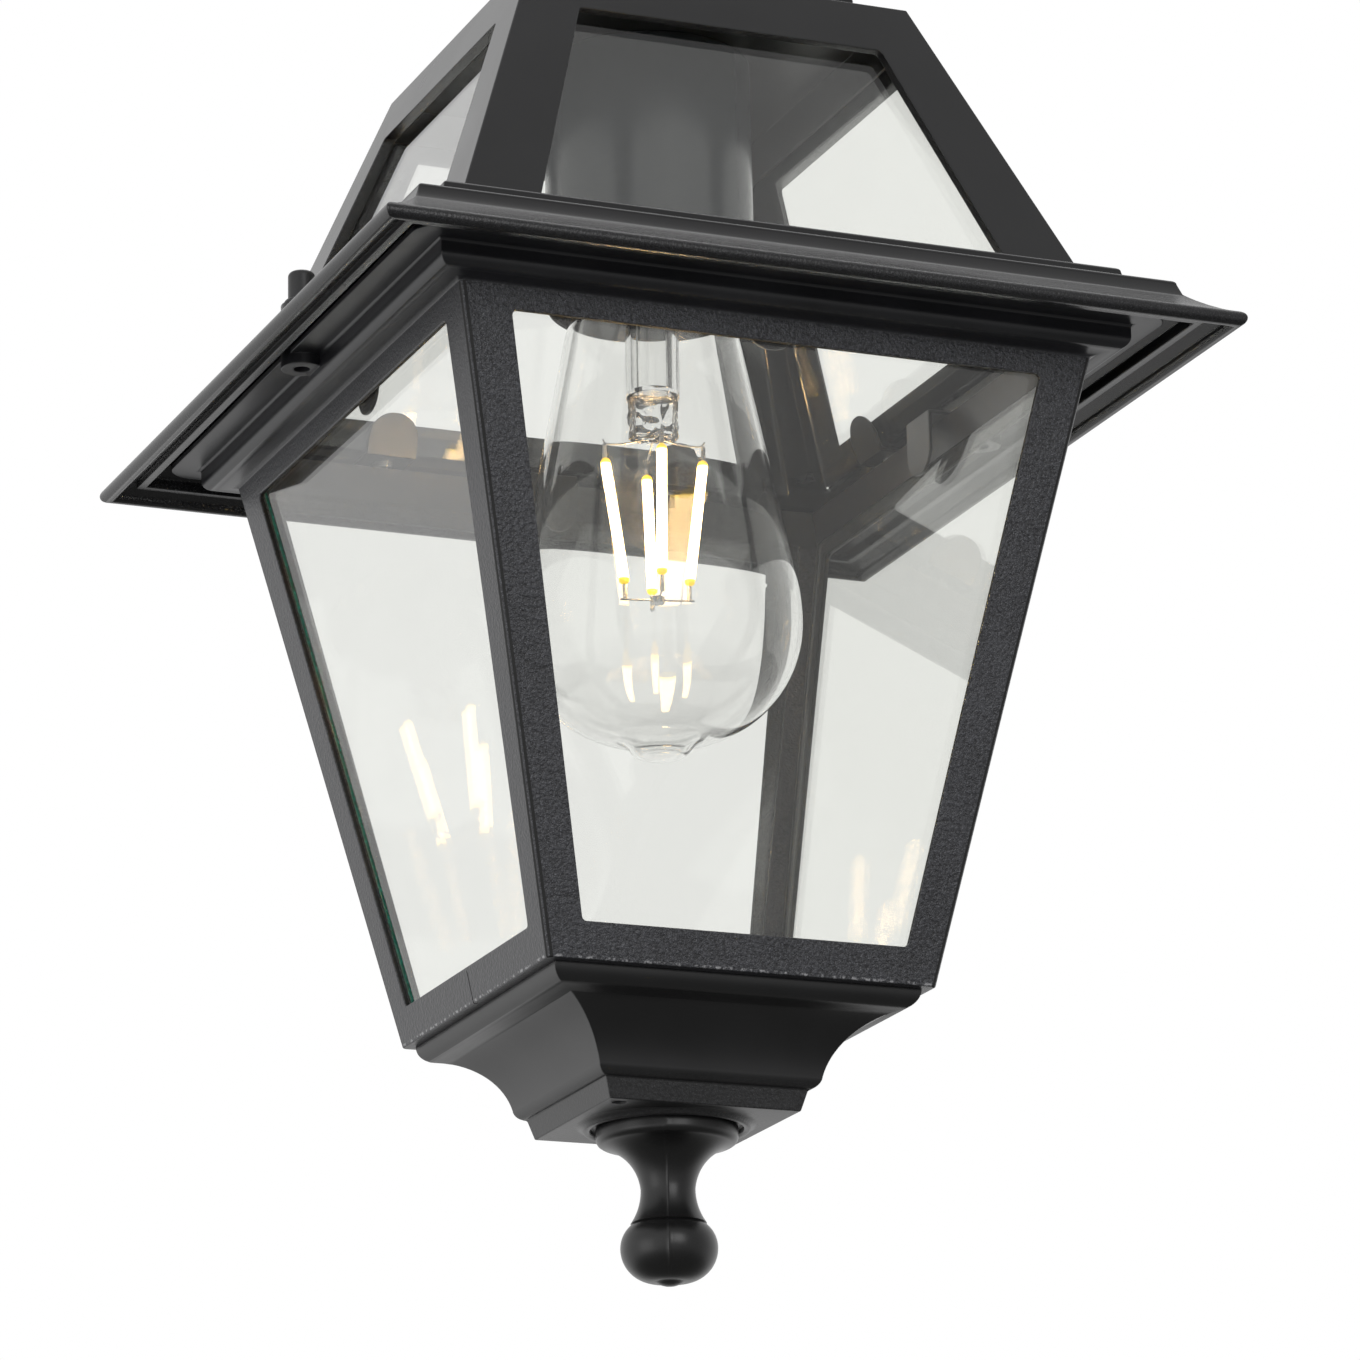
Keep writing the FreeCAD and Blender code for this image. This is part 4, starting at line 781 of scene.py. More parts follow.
@dataclass(frozen=True)
class LitPhosphor(Finish):
    """The glowing coat of a filament, white along its run and yellow at its ends."""

    core: Colour = (1.0, 0.68, 0.33)
    end: Colour = (1.0, 0.66, 0.02)
    strength: float = 42.0
    end_strength: float = 0.9
    foot_level: float = -41.0
    head_level: float = -11.7
    end_run: float = 1.1
    fade: float = 1.2
    grain: float = 2500.0
    depth: float = 0.01 * MM
    smooth: float = 0.4
    rough: float = 0.6

    def wire(self, bench: NodeBench, shader: Node, out: Node) -> None:
        """Wire the glow along the filament's height."""
        height = bench.add("SeparateXYZ", {0: bench.object_place()}).outputs["Z"]
        foot, head = self.foot_level + self.end_run, self.head_level - self.end_run
        from_foot = bench.remap(height, level(foot), level(foot + self.fade))
        from_head = bench.remap(height, level(head), level(head - self.fade))
        lit = bench.sum("MULTIPLY", from_foot, from_head)
        glow = bench.blend(lit, opaque(self.end), opaque(self.core))
        power = bench.remap(lit, 0.0, 1.0, self.end_strength, self.strength)
        bench.feed(shader, {"Emission Color": glow, "Emission Strength": power})
        COAT_GRAIN.dress(bench, shader, self.depth, {
            "Grain Scale": self.grain, "Dark": opaque(self.end), "Light": opaque(self.core),
            "Smooth": self.smooth, "Rough": self.rough})


HOOD_COAT = BakedCoat("hood_coat", dark=(0.006, 0.006, 0.0065), light=(0.03, 0.03, 0.033), grain=1700.0,
                      depth=0.12 * MM, smooth=0.24, rough=0.28, grain_head=6.0)
FRAME_COAT = BakedCoat("frame_coat", dark=(0.007, 0.007, 0.0085), light=(0.105, 0.108, 0.122), grain=1350.0,
                       depth=0.42 * MM, smooth=0.3, rough=0.36, grain_head=-3.6, chipped_at=-138.85)
FOOT_COAT = BakedCoat("foot_coat", dark=(0.007, 0.007, 0.0073), light=(0.05, 0.05, 0.053), grain=1500.0,
                      depth=0.15 * MM, smooth=0.32, rough=0.38, grain_head=-158.0)
CLIP_COAT = BakedCoat("clip_coat", dark=grey(0.012), light=grey(0.03), grain=2000.0,
                      depth=0.01 * MM, smooth=0.28, rough=0.36)
FINIAL_PLASTIC = BakedCoat("finial_plastic", dark=grey(0.006), light=(0.014, 0.014, 0.0145), grain=2600.0,
                           depth=0.006 * MM, smooth=0.28, rough=0.38)
KNOB_COAT = BakedCoat("knob_coat", dark=(0.008, 0.008, 0.009), light=(0.02, 0.02, 0.022), grain=2400.0,
                      depth=0.004 * MM, smooth=0.32, rough=0.46)
SLEEVE_PAINT = BakedCoat("sleeve_paint", dark=(0.028, 0.03, 0.034), light=(0.046, 0.05, 0.06), grain=1800.0,
                         depth=0.003 * MM, smooth=0.2, rough=0.24)
HOLDER_PLASTIC = BakedCoat("holder_plastic", dark=grey(0.02), light=grey(0.04), grain=2000.0,
                           depth=0.006 * MM)
GASKET_RUBBER = BakedCoat("gasket_rubber", dark=grey(0.012), light=grey(0.03), grain=900.0,
                          depth=0.012 * MM, smooth=0.6, rough=0.8)
# Painted shade: the sides of the window recesses are coated near black, standing in for the shadow in the
# gap between the casting's lip and the glass.
PAINTED_RECESS_SHADE = BakedCoat("painted_recess_shade", dark=grey(0.002), light=grey(0.008), grain=900.0,
                      depth=0.004 * MM, smooth=0.55, rough=0.7)
PANE_EDGE = BakedCoat("pane_edge", dark=(0.0, 0.05, 0.037), light=(0.0, 0.32, 0.235), grain=420.0,
                      depth=0.01 * MM, smooth=0.2, rough=0.4)
SCREW_STEEL = WorkedMetal("screw_steel_lines", dark=grey(0.36), light=grey(0.64), smooth=0.16)
SPUN_BRASS = WorkedMetal("spun_brass", dark=(0.52, 0.36, 0.13), light=(0.82, 0.62, 0.28))
CAP_METAL = WorkedMetal("cap_metal", dark=(0.5, 0.5, 0.48), light=(0.76, 0.75, 0.72),
                        smooth=0.18, rough=0.34)
PANE_GLASS = ClearGlass("pane_glass")
LAMP_GLASS = ClearGlass("lamp_glass", clear=(0.982, 0.982, 0.978), dull=(0.968, 0.968, 0.963),
                        slant=(0.982, 0.982, 0.978), film=0.0, depth=0.0)
PHOSPHOR = LitPhosphor("lit_phosphor")


@dataclass(frozen=True)
class BodyWall:
    """The leaning wall of the body, cast thin where the panes lie."""

    head_half: float = 73.0
    head: float = -3.4
    lean: float = 28.6 / 135.9
    solid_thick: float = 3.4
    thin_by: float = 2.2
    window_lip: float = 1.1
    lip_edge: float = 0.2
    slack: float = 0.1
    parallel: float = 0.999
    across: float = 0.6
    recess_reach: float = 1.0
    window_head: Corner = Corner(61.0978, -8.4)
    window_foot: Corner = Corner(37.1025, -131.4)

    def window_corners(self, side: Side) -> Iterator[Vector]:
        """Give the sharp corners of one side's window, on both faces of the solid wall."""
        for corner in (self.window_head, self.window_foot):
            for depth in (0.0, self.solid_thick):
                out = self.head_half + (corner.height - self.head) * self.lean
                out -= depth * math.hypot(1.0, self.lean)
                for along in (-corner.radius, corner.radius):
                    yield side.face(along * MM, out * MM, level(corner.height))

    @property
    def shift(self) -> float:
        """How far outwards, on the level, the thinned wall's inner face and the panes move."""
        return self.thin_by * math.hypot(1.0, self.lean) * MM

    def out(self, side: Side) -> Vector:
        """Give the direction that one side's wall faces."""
        return side.face(0.0, 1.0, -self.lean).normalized()

    def depth(self, side: Side, at: Vector) -> float:
        """Give how far a point lies behind the outer face of one side's wall, in millimetres."""
        return (side.face(0.0, self.head_half * MM, level(self.head)) - at).dot(self.out(side)) / MM

    def is_inner(self, side: Side, at: Vector, way: Vector) -> bool:
        """Say whether a face belongs to the inner face of one side's solid wall."""
        behind = abs(self.depth(side, at) - self.solid_thick)
        return way.dot(self.out(side)) < -self.parallel and behind < self.slack

    def is_recess(self, at: Vector, way: Vector) -> bool:
        """Say whether a face lies in the recess round a window."""
        reach = self.window_head.radius + self.recess_reach
        return any(abs(at.dot(side.face(1.0, 0.0))) / MM < reach
                   and abs(way.dot(self.out(side))) < self.across
                   and self.lip_edge < self.depth(side, at) < self.window_lip for side in Side)


BODY_WALL = BodyWall()


@dataclass
class Castings:
    """The coated castings: hood, body frame, ogee foot, cap and hanging eye."""

    edge: float = 0.3 * MM
    segments: int = 2
    corner_reach: float = 3.1 * MM
    corner_share: float = 0.5
    slit_width: float = 0.35
    slit_depth: float = 1.0
    slit_foot: Span = (-44.4, -139.3)
    slit_head: Span = (-45.8, -132.6)
    slit_offset: float = -0.7
    slit_over: float = 1.1

    def build(self) -> None:
        """Shape and dress the castings."""
        for node, finish in (
            ("hood", HOOD_COAT),
            ("body_frame", FRAME_COAT),
            ("base_cup", FOOT_COAT),
            ("top_cap", HOOD_COAT),
            ("hang_loop", HOOD_COAT),
        ):
            piece = Workpiece.from_node(node, node + "_casting")
            if node == "body_frame":
                self.tighten_corners(piece)
                self.thin_walls(piece)
            piece.soften(self.edge, self.segments)
            if node == "body_frame":
                piece.carve(self.slit())
            piece.smooth().hand_over("cast_black", finish, node)
            if node == "body_frame":
                # Paint shade into the recesses round the windows.
                piece.recoat(PAINTED_RECESS_SHADE, BODY_WALL.is_recess)

    def tighten_corners(self, frame_piece: Workpiece) -> None:
        """Draw the rounded corners of the body's windows in towards their sharp corners."""
        with frame_piece.editing():
            for side in Side:
                for sharp in BODY_WALL.window_corners(side):
                    frame_piece.pick(Pick.VERT, lambda at, _: (at - sharp).length < self.corner_reach)
                    bpy.ops.transform.resize(value=(self.corner_share,) * 3, center_override=sharp)

    def thin_walls(self, frame_piece: Workpiece) -> None:
        """Move the inner faces of the body's walls outwards."""
        with frame_piece.editing():
            for side in Side:
                frame_piece.pick(Pick.FACE, lambda at, way: BODY_WALL.is_inner(side, at, way))
                bpy.ops.transform.translate(value=side.face(0.0, BODY_WALL.shift))

    def slit(self) -> Workpiece:
        """Shape the cutter of the joint in the middle of the left bottom rail."""
        foot, head = (Vector((x * MM, self.slit_offset * MM, level(z)))
                      for x, z in (self.slit_foot, self.slit_head))
        run = head - foot
        size = (2.0 * self.slit_depth * MM, self.slit_width * MM, run.length * self.slit_over)
        lean = math.atan2(run.x, run.z)
        return Workpiece.block("slit_cutter", size, (foot + head) / 2.0, (0.0, lean, 0.0))


@dataclass
class Glazing:
    """The eight panes. The left one of the body is cut short at its far edge, which shows green."""

    arris: float = 0.3 * MM
    short_head: float = 4.4
    short_foot: float = 2.5
    half_way: float = -70.0
    off_broad: float = 0.9

    def build(self) -> None:
        """Shape and dress the panes."""
        for part in ("roof", "body"):
            for side in Side:
                node = f"{part}_pane_{side.word}"
                pane = Workpiece.from_node(node, f"{part}_glass_{side.word}")
                if part == "body":
                    self.seat(pane, side)
                broad = max(pane.obj.data.polygons, key=lambda face: face.area).normal.copy()
                pane.soften(self.arris, 1)
                pane.hand_over("clear_glass", PANE_GLASS, node)
                if part == "body" and side is Side.LEFT:
                    pane.recoat(PANE_EDGE, lambda _, way: abs(way.dot(broad)) < self.off_broad)

    def seat(self, pane: Workpiece, side: Side) -> None:
        """Push a pane of the body against its thinned wall, and cut the left one short."""
        along = side.face(1.0, 0.0)
        with pane.editing():
            select_skin()
            bpy.ops.transform.translate(value=side.face(0.0, BODY_WALL.shift))
            if side is Side.LEFT:
                for upper, cut in ((True, self.short_head), (False, self.short_foot)):
                    pane.pick(Pick.VERT, lambda at, _: at.dot(along) < 0.0
                              and (at.z > level(self.half_way)) is upper)
                    bpy.ops.transform.translate(value=along * cut * MM)


@dataclass
class GlassFixings:
    """The sheet clips and the retainer that hold the panes."""

    edge: float = 0.15 * MM

    def build(self) -> None:
        """Shape and dress the fixings."""
        for node, name in (
            ("roof_clips", "roof_pane_clips"),
            ("body_clips", "body_pane_clips"),
            ("roof_retainer", "roof_pane_retainer"),
        ):
            piece = Workpiece.from_node(node, name).soften(self.edge, 1).smooth()
            piece.hand_over("sheet_steel", CLIP_COAT, node)


@dataclass
class CrossScrews:
    """The pan-head screws: one is modelled and copied to each of its places."""

    head_radius: float = 2.5
    head_thick: float = 1.6
    head_round: float = 0.8
    shank_radius: float = 1.45
    shank_length: float = 6.0
    tip_bevel: float = 0.5
    slot_width: float = 0.6
    slot_span: float = 2.7
    slot_depth: float = 0.8
    roof_half: float = 75.2
    roof_offset: float = 35.0
    roof_seat: float = 7.8
    body_half: float = 73.6
    body_seat: float = 5.8
    foot_half: float = 34.4
    foot_seat: float = -136.8
    facets: int = 28
    round_steps: int = 4
    level_way: float = 0.9
    crease: float = 35.0
    next_turn: float = 0.4

    def pattern(self) -> Workpiece:
        """Model one screw, its seat at the origin and its head above."""
        clear_selection()
        bpy.ops.mesh.primitive_cylinder_add(
            vertices=self.facets, radius=self.head_radius * MM, depth=self.head_thick * MM,
            location=(0.0, 0.0, self.head_thick * MM / 2.0))
        screw = Workpiece.from_active("screw_pattern")
        screw.place(screw.obj.location.copy())
        with screw.editing():
            screw.pick(Pick.FACE, lambda _, way: way.z > self.level_way)
            bpy.ops.mesh.bevel(offset=self.head_round * MM, segments=self.round_steps, affect="EDGES")
            screw.pick(Pick.FACE, lambda _, way: way.z < -self.level_way)
            bpy.ops.mesh.inset(thickness=(self.head_radius - self.shank_radius) * MM)
            bpy.ops.mesh.extrude_region_move(
                TRANSFORM_OT_translate={"value": (0.0, 0.0, -self.shank_length * MM)})
            bpy.ops.mesh.bevel(offset=self.tip_bevel * MM, segments=1, affect="EDGES")
        bar = (self.slot_span * MM, self.slot_width * MM, 2.0 * self.slot_depth * MM)
        top = Vector((0.0, 0.0, self.head_thick * MM))
        for turn in (0.0, QUARTER):
            screw.carve(Workpiece.block("slot_cutter", bar, top, (0.0, 0.0, turn)))
        return screw.smooth(self.crease)

    def build(self) -> None:
        """Copy the screw to its places and dress each set."""
        pattern = self.pattern()
        roof = (-self.roof_offset, self.roof_offset)
        for node, offsets, half, seat, flip in (
            ("roof_clip_screws", roof, self.roof_half, self.roof_seat, math.pi),
            ("body_clip_screws", (0.0,), self.body_half, self.body_seat, 0.0),
            ("base_screws", (-self.foot_half,), self.foot_half, self.foot_seat, 0.0),
        ):
            name = node + "_set"
            copies = []
            for side in Side:
                for along in offsets:
                    at = side.face(along * MM, half * MM, level(seat))
                    copies.append(pattern.copy(name).place(at, (flip, 0.0, self.next_turn * len(copies))))
            Workpiece.gathered(name, copies).hand_over("screw_steel", SCREW_STEEL, node)
        pattern.scrap()


@dataclass
class TurnedTrim:
    """The finial with the parting line of its mould, its bolt and washer, and the two thumb screws."""

    edge: float = 0.2 * MM
    steps: int = 144
    bore: float = 2.6
    bore_end: float = -177.7
    collar: Corner = Corner(13.2, -163.0)
    flange: Corner = Corner(15.4, -163.6)
    flange_foot: float = -165.8
    flange_round: float = 1.5
    neck: Corner = Corner(5.9, -177.0, 13.0)
    flange_cove: float = 11.0
    rim: Corner = Corner(8.2, -184.4)
    groove: Corner = Corner(7.8, -184.7)
    brow: Corner = Corner(8.4, -185.0, -6.4)
    ball: Corner = Corner(10.5, -189.8, -7.3)
    tip: Corner = Corner(3.0, -197.1, -5.4)
    point: float = -198.0
    line_turn: float = math.radians(-112.9)
    line_height: float = 0.24
    line_off_axis: float = 1.2
    crease: float = 50.0

    def build(self) -> None:
        """Shape and dress the turned pieces."""
        self.finial().hand_over("finial_black", FINIAL_PLASTIC, "finial")
        for node in ("finial_washer", "finial_bolt"):
            piece = Workpiece.from_node(node, node + "_steel").soften(self.edge, 1).smooth()
            piece.hand_over("screw_steel", SCREW_STEEL, node)
        for body in (Body.THUMB_LEFT, Body.THUMB_RIGHT):
            knob = Workpiece.from_node(body.value, body.value + "_knob").soften(self.edge, 2).smooth()
            knob.hand_over("knob_black", KNOB_COAT, body.value, body=body)

    def finial(self) -> Workpiece:
        """Turn the drop and raise the parting line on its two sides."""
        bend = self.flange_round
        start = Corner(self.bore, self.collar.height)
        drop = Workpiece.turned("finial_drop", [
            start, self.collar, Corner(self.collar.radius, self.flange.height), self.flange,
            Corner(self.flange.radius, self.flange_foot, -bend),
            Corner(self.flange.radius - bend, self.flange_foot - bend, self.flange_cove),
            self.neck, self.rim, self.groove, self.brow, self.ball, self.tip,
            Corner(0.0, self.point), Corner(0.0, self.bore_end), Corner(self.bore, self.bore_end), start,
        ], self.steps)
        drop.place(Vector(), (0.0, 0.0, self.line_turn))
        along = Vector((math.cos(self.line_turn), math.sin(self.line_turn), 0.0))
        half_step = math.cos(math.pi / self.steps)
        for way in (along, -along):
            with drop.editing():
                drop.pick(Pick.VERT, lambda at, _: at.xy.length > self.line_off_axis * self.bore * MM
                          and at.xy.normalized().dot(way.xy) > half_step
                          and at.z < level(self.flange.height))
                bpy.ops.transform.translate(value=way * self.line_height * MM)
        return drop.smooth(self.crease)


@dataclass
class LampHolder:
    """The sleeve, the holder inside it and the hollow bolt that hangs it."""

    edge: float = 0.2 * MM

    def build(self) -> None:
        """Shape and dress the holder."""
        for node, slot, finish in (
            ("lamp_sleeve", "sleeve_grey", SLEEVE_PAINT),
            ("holder_body", "holder_plastic", HOLDER_PLASTIC),
            ("holder_shell", "brass", SPUN_BRASS),
            ("holder_contact", "brass", SPUN_BRASS),
            ("nipple", "brass", SPUN_BRASS),
            ("nipple_nut", "brass", SPUN_BRASS),
            ("nipple_washer", "screw_steel", SCREW_STEEL),
            ("loop_washer", "screw_steel", SCREW_STEEL),
            ("cap_gasket", "rubber", GASKET_RUBBER),
            ("cable_grommet", "rubber", GASKET_RUBBER),
        ):
            piece = Workpiece.from_node(node, node + "_piece").soften(self.edge, 1).smooth()
            piece.hand_over(slot, finish, node)


@dataclass
class FilamentLamp:
    """The clear filament lamp: blown envelope, stem, cap, filaments and their wires."""

    steps: int = 96
    wall: float = 0.8
    tip: Corner = Corner(0.0, -80.8, 35.4)
    pip: Corner = Corner(4.2, -80.55, 2.87)
    dimple: Corner = Corner(6.6, -79.2, -6.3)
    dimple_lean: float = math.radians(58.0)
    dome: Corner = Corner(10.0, -76.54, 27.0)
    belly: Corner = Corner(32.0, -50.0, 56.0)
    shoulder: Corner = Corner(30.2, -36.0)
    cone: Corner = Corner(19.6, 16.8, 30.0)
    flare: Corner = Corner(15.6, 26.0, -12.0)
    neck: Corner = Corner(12.4, 33.6)
    head: float = 44.0
    stem_radius: float = 6.0
    stem_wall: float = 1.3
    stem_head: float = 40.0
    stem_flare: float = 11.5
    stem_flare_thick: float = 1.4
    stem_foot: float = 2.6
    lead_radius: float = 0.16
    pinch_foot: float = -7.2
    pinch_size: Span = (10.4, 4.2)
    crackle: float = 0.7
    turn: float = math.radians(76.2)
    rod_radius: float = 1.15
    rod_head: Corner = Corner(11.1, -11.7)
    rod_foot: Corner = Corner(7.2, -41.0)
    wire_radius: float = 0.22
    tail_radius: float = 0.55
    arm: tuple[Corner, ...] = (Corner(1.6, -6.9), Corner(4.0, -7.9), Corner(9.0, -8.6), Corner(11.0, -8.5),
                               Corner(11.5, -7.4))
    leg: tuple[Corner, ...] = (Corner(0.6, -44.4), Corner(4.0, -44.5), Corner(8.3, -44.4))
    crease: float = 50.0
    glass_crease: float = 60.0
    stem_steps: int = 64
    rod_steps: int = 24
    rod_round: float = 1.2
    rod_round_run: float = 0.7
    lead_reach: float = 3.3
    lead_head: float = 38.0
    pinch_round: float = 0.25
    pinch_cuts: int = 4
    crackle_seed: int = 5
    crackle_normal: float = 0.7
    crackle_ease: float = 0.6

    def build(self) -> None:
        """Shape and dress the lamp."""
        self.envelope().hand_over("bulb_glass", LAMP_GLASS, "bulb_glass")
        self.stem().hand_over("bulb_glass", LAMP_GLASS, "bulb_stem")
        self.pinch().hand_over("bulb_glass", LAMP_GLASS)
        self.lead_wires().hand_over("screw_steel", SCREW_STEEL)
        self.rods().hand_over("filament", PHOSPHOR, "bulb_filaments")
        for node, path, tail in (("bulb_upper_wires", self.arm, self.rod_head),
                                 ("bulb_lower_wires", self.leg, self.rod_foot)):
            self.wires(node + "_set", path, tail).hand_over("screw_steel", SCREW_STEEL, node)
        for node, slot, finish in (
            ("bulb_hub", "screw_steel", SCREW_STEEL),
            ("bulb_cap", "bulb_metal", CAP_METAL),
            ("bulb_insulator", "holder_plastic", HOLDER_PLASTIC),
            ("bulb_contact", "brass", SPUN_BRASS),
        ):
            Workpiece.from_node(node, node + "_piece").smooth(self.crease).hand_over(slot, finish, node)

    def envelope(self) -> Workpiece:
        """Blow the envelope: its outside, and its inside a wall's thickness in."""
        wall, tip, pip, dimple = self.wall, self.tip, self.pip, self.dimple
        dome, belly = self.dome, self.belly
        sides = [dome, belly, self.shoulder, self.cone, self.flare, self.neck]
        share = wall / dome.bend
        brim = [Corner(self.neck.radius, self.head), Corner(self.neck.radius - wall, self.head)]
        inside = [Corner(at.radius - wall, at.height, wall - before.bend if before.bend else 0.0)
                  for at, before in reversed(list(zip(sides[1:], sides)))]
        foot = [
            Corner(dome.radius + (belly.radius - dome.bend - dome.radius) * share,
                   dome.height + (belly.height - dome.height) * share, wall - dimple.bend),
            Corner(dimple.radius - wall * math.sin(self.dimple_lean),
                   dimple.height + wall * math.cos(self.dimple_lean), wall - pip.bend),
            Corner(pip.radius, pip.height + wall, wall - tip.bend),
            Corner(0.0, tip.height + wall),
        ]
        skin = [tip, pip, dimple, *sides, *brim, *inside, *foot]
        return Workpiece.turned("lamp_envelope", skin, self.steps).smooth(self.glass_crease)

    def stem(self) -> Workpiece:
        """Turn the flared tube that is closed at its foot."""
        outer, head, foot = self.stem_radius, self.stem_head, self.stem_foot
        bore, floor, under = outer - self.stem_wall, foot + self.stem_wall, head - self.stem_flare_thick
        start = Corner(bore, head)
        tube = Workpiece.turned("lamp_stem", [
            start, Corner(bore, floor), Corner(0.0, floor), Corner(0.0, foot), Corner(outer, foot),
            Corner(outer, under - outer, -outer), Corner(self.stem_flare, under),
            Corner(self.stem_flare, head), start,
        ], self.stem_steps)
        return tube.smooth(self.crease)

    def pinch(self) -> Workpiece:
        """Press the crackled lump of glass that holds the wires."""
        width, thick = self.pinch_size
        size = (width * MM, thick * MM, (self.stem_foot - self.pinch_foot) * MM)
        middle = Vector((0.0, 0.0, level((self.stem_foot + self.pinch_foot) / 2.0)))
        lump = Workpiece.block("lamp_pinch", size, middle, (0.0, 0.0, self.turn + QUARTER))
        lump.soften(self.pinch_round * thick * MM, 2)
        with lump.editing():
            select_skin()
            bpy.ops.mesh.subdivide(number_cuts=self.pinch_cuts)
            bpy.ops.transform.vertex_random(
                offset=self.crackle * MM, normal=self.crackle_normal, seed=self.crackle_seed)
            bpy.ops.mesh.subdivide(number_cuts=1, smoothness=self.crackle_ease)
            bpy.ops.mesh.normals_make_consistent(inside=False)
        return lump.smooth(self.glass_crease)

    def spoke(self, corner: Corner, turn: float) -> Vector:
        """Give the place of a corner in the half plane at a turn about the lamp's axis."""
        out = corner.radius
        return Vector((out * math.cos(turn) * MM, out * math.sin(turn) * MM, level(corner.height)))

    def turns(self) -> list[float]:
        """Give the turns of the four filaments."""
        return [self.turn + side.turn for side in Side]

    def lead_wires(self) -> Workpiece:
        """Draw the two wires that run down inside the stem."""
        name = "lamp_lead_wires"
        wires = []
        for turn in self.turns()[1::2]:
            run = [self.spoke(Corner(self.lead_reach, height), turn)
                   for height in (self.lead_head, self.stem_foot + self.stem_wall)]
            wires.append(Workpiece.drawn(name, run, self.lead_radius * MM))
        return Workpiece.gathered(name, wires).smooth(self.crease)

    def rods(self) -> Workpiece:
        """Model one filament upright, and copy it to its four leaning places."""
        head, foot, radius = self.rod_head, self.rod_foot, self.rod_radius
        lean = math.atan2(head.radius - foot.radius, head.height - foot.height)
        length = (head.height - foot.height) / math.cos(lean)
        bend, run = self.rod_round * radius, self.rod_round_run * radius
        pattern = Workpiece.turned("rod_pattern", [
            Corner(0.0, ORIGIN, bend), Corner(radius, ORIGIN + run),
            Corner(radius, ORIGIN + length - run, bend), Corner(0.0, ORIGIN + length)], self.rod_steps)
        pattern.smooth(self.crease)
        name = "lamp_filaments"
        copies = [pattern.copy(name).place(self.spoke(foot, turn), (0.0, lean, turn))
                  for turn in self.turns()]
        pattern.scrap()
        return Workpiece.gathered(name, copies)

    def wires(self, name: str, path: Sequence[Corner], tail: Corner) -> Workpiece:
        """Draw the four wires that hold one end of the filaments.

        Args:
            name: The set's name.
            path: The wire's run from the middle outwards.
            tail: The end of the filament that the wire holds by a thicker tail.
        """
        parts = []
        end = [Corner(tail.radius, path[-2].height), tail]
        for turn in self.turns():
            for corners, radius in ((path, self.wire_radius), (end, self.tail_radius)):
                run = [self.spoke(corner, turn) for corner in corners]
                parts.append(Workpiece.drawn(name, run, radius * MM))
        return Workpiece.gathered(name, parts).smooth(self.crease)


class SoftLamp(NamedTuple):
    """A square area lamp: its name, place, size in metres and power in watts."""

    name: str
    at: tuple[float, float, float]
    size: float
    energy: float


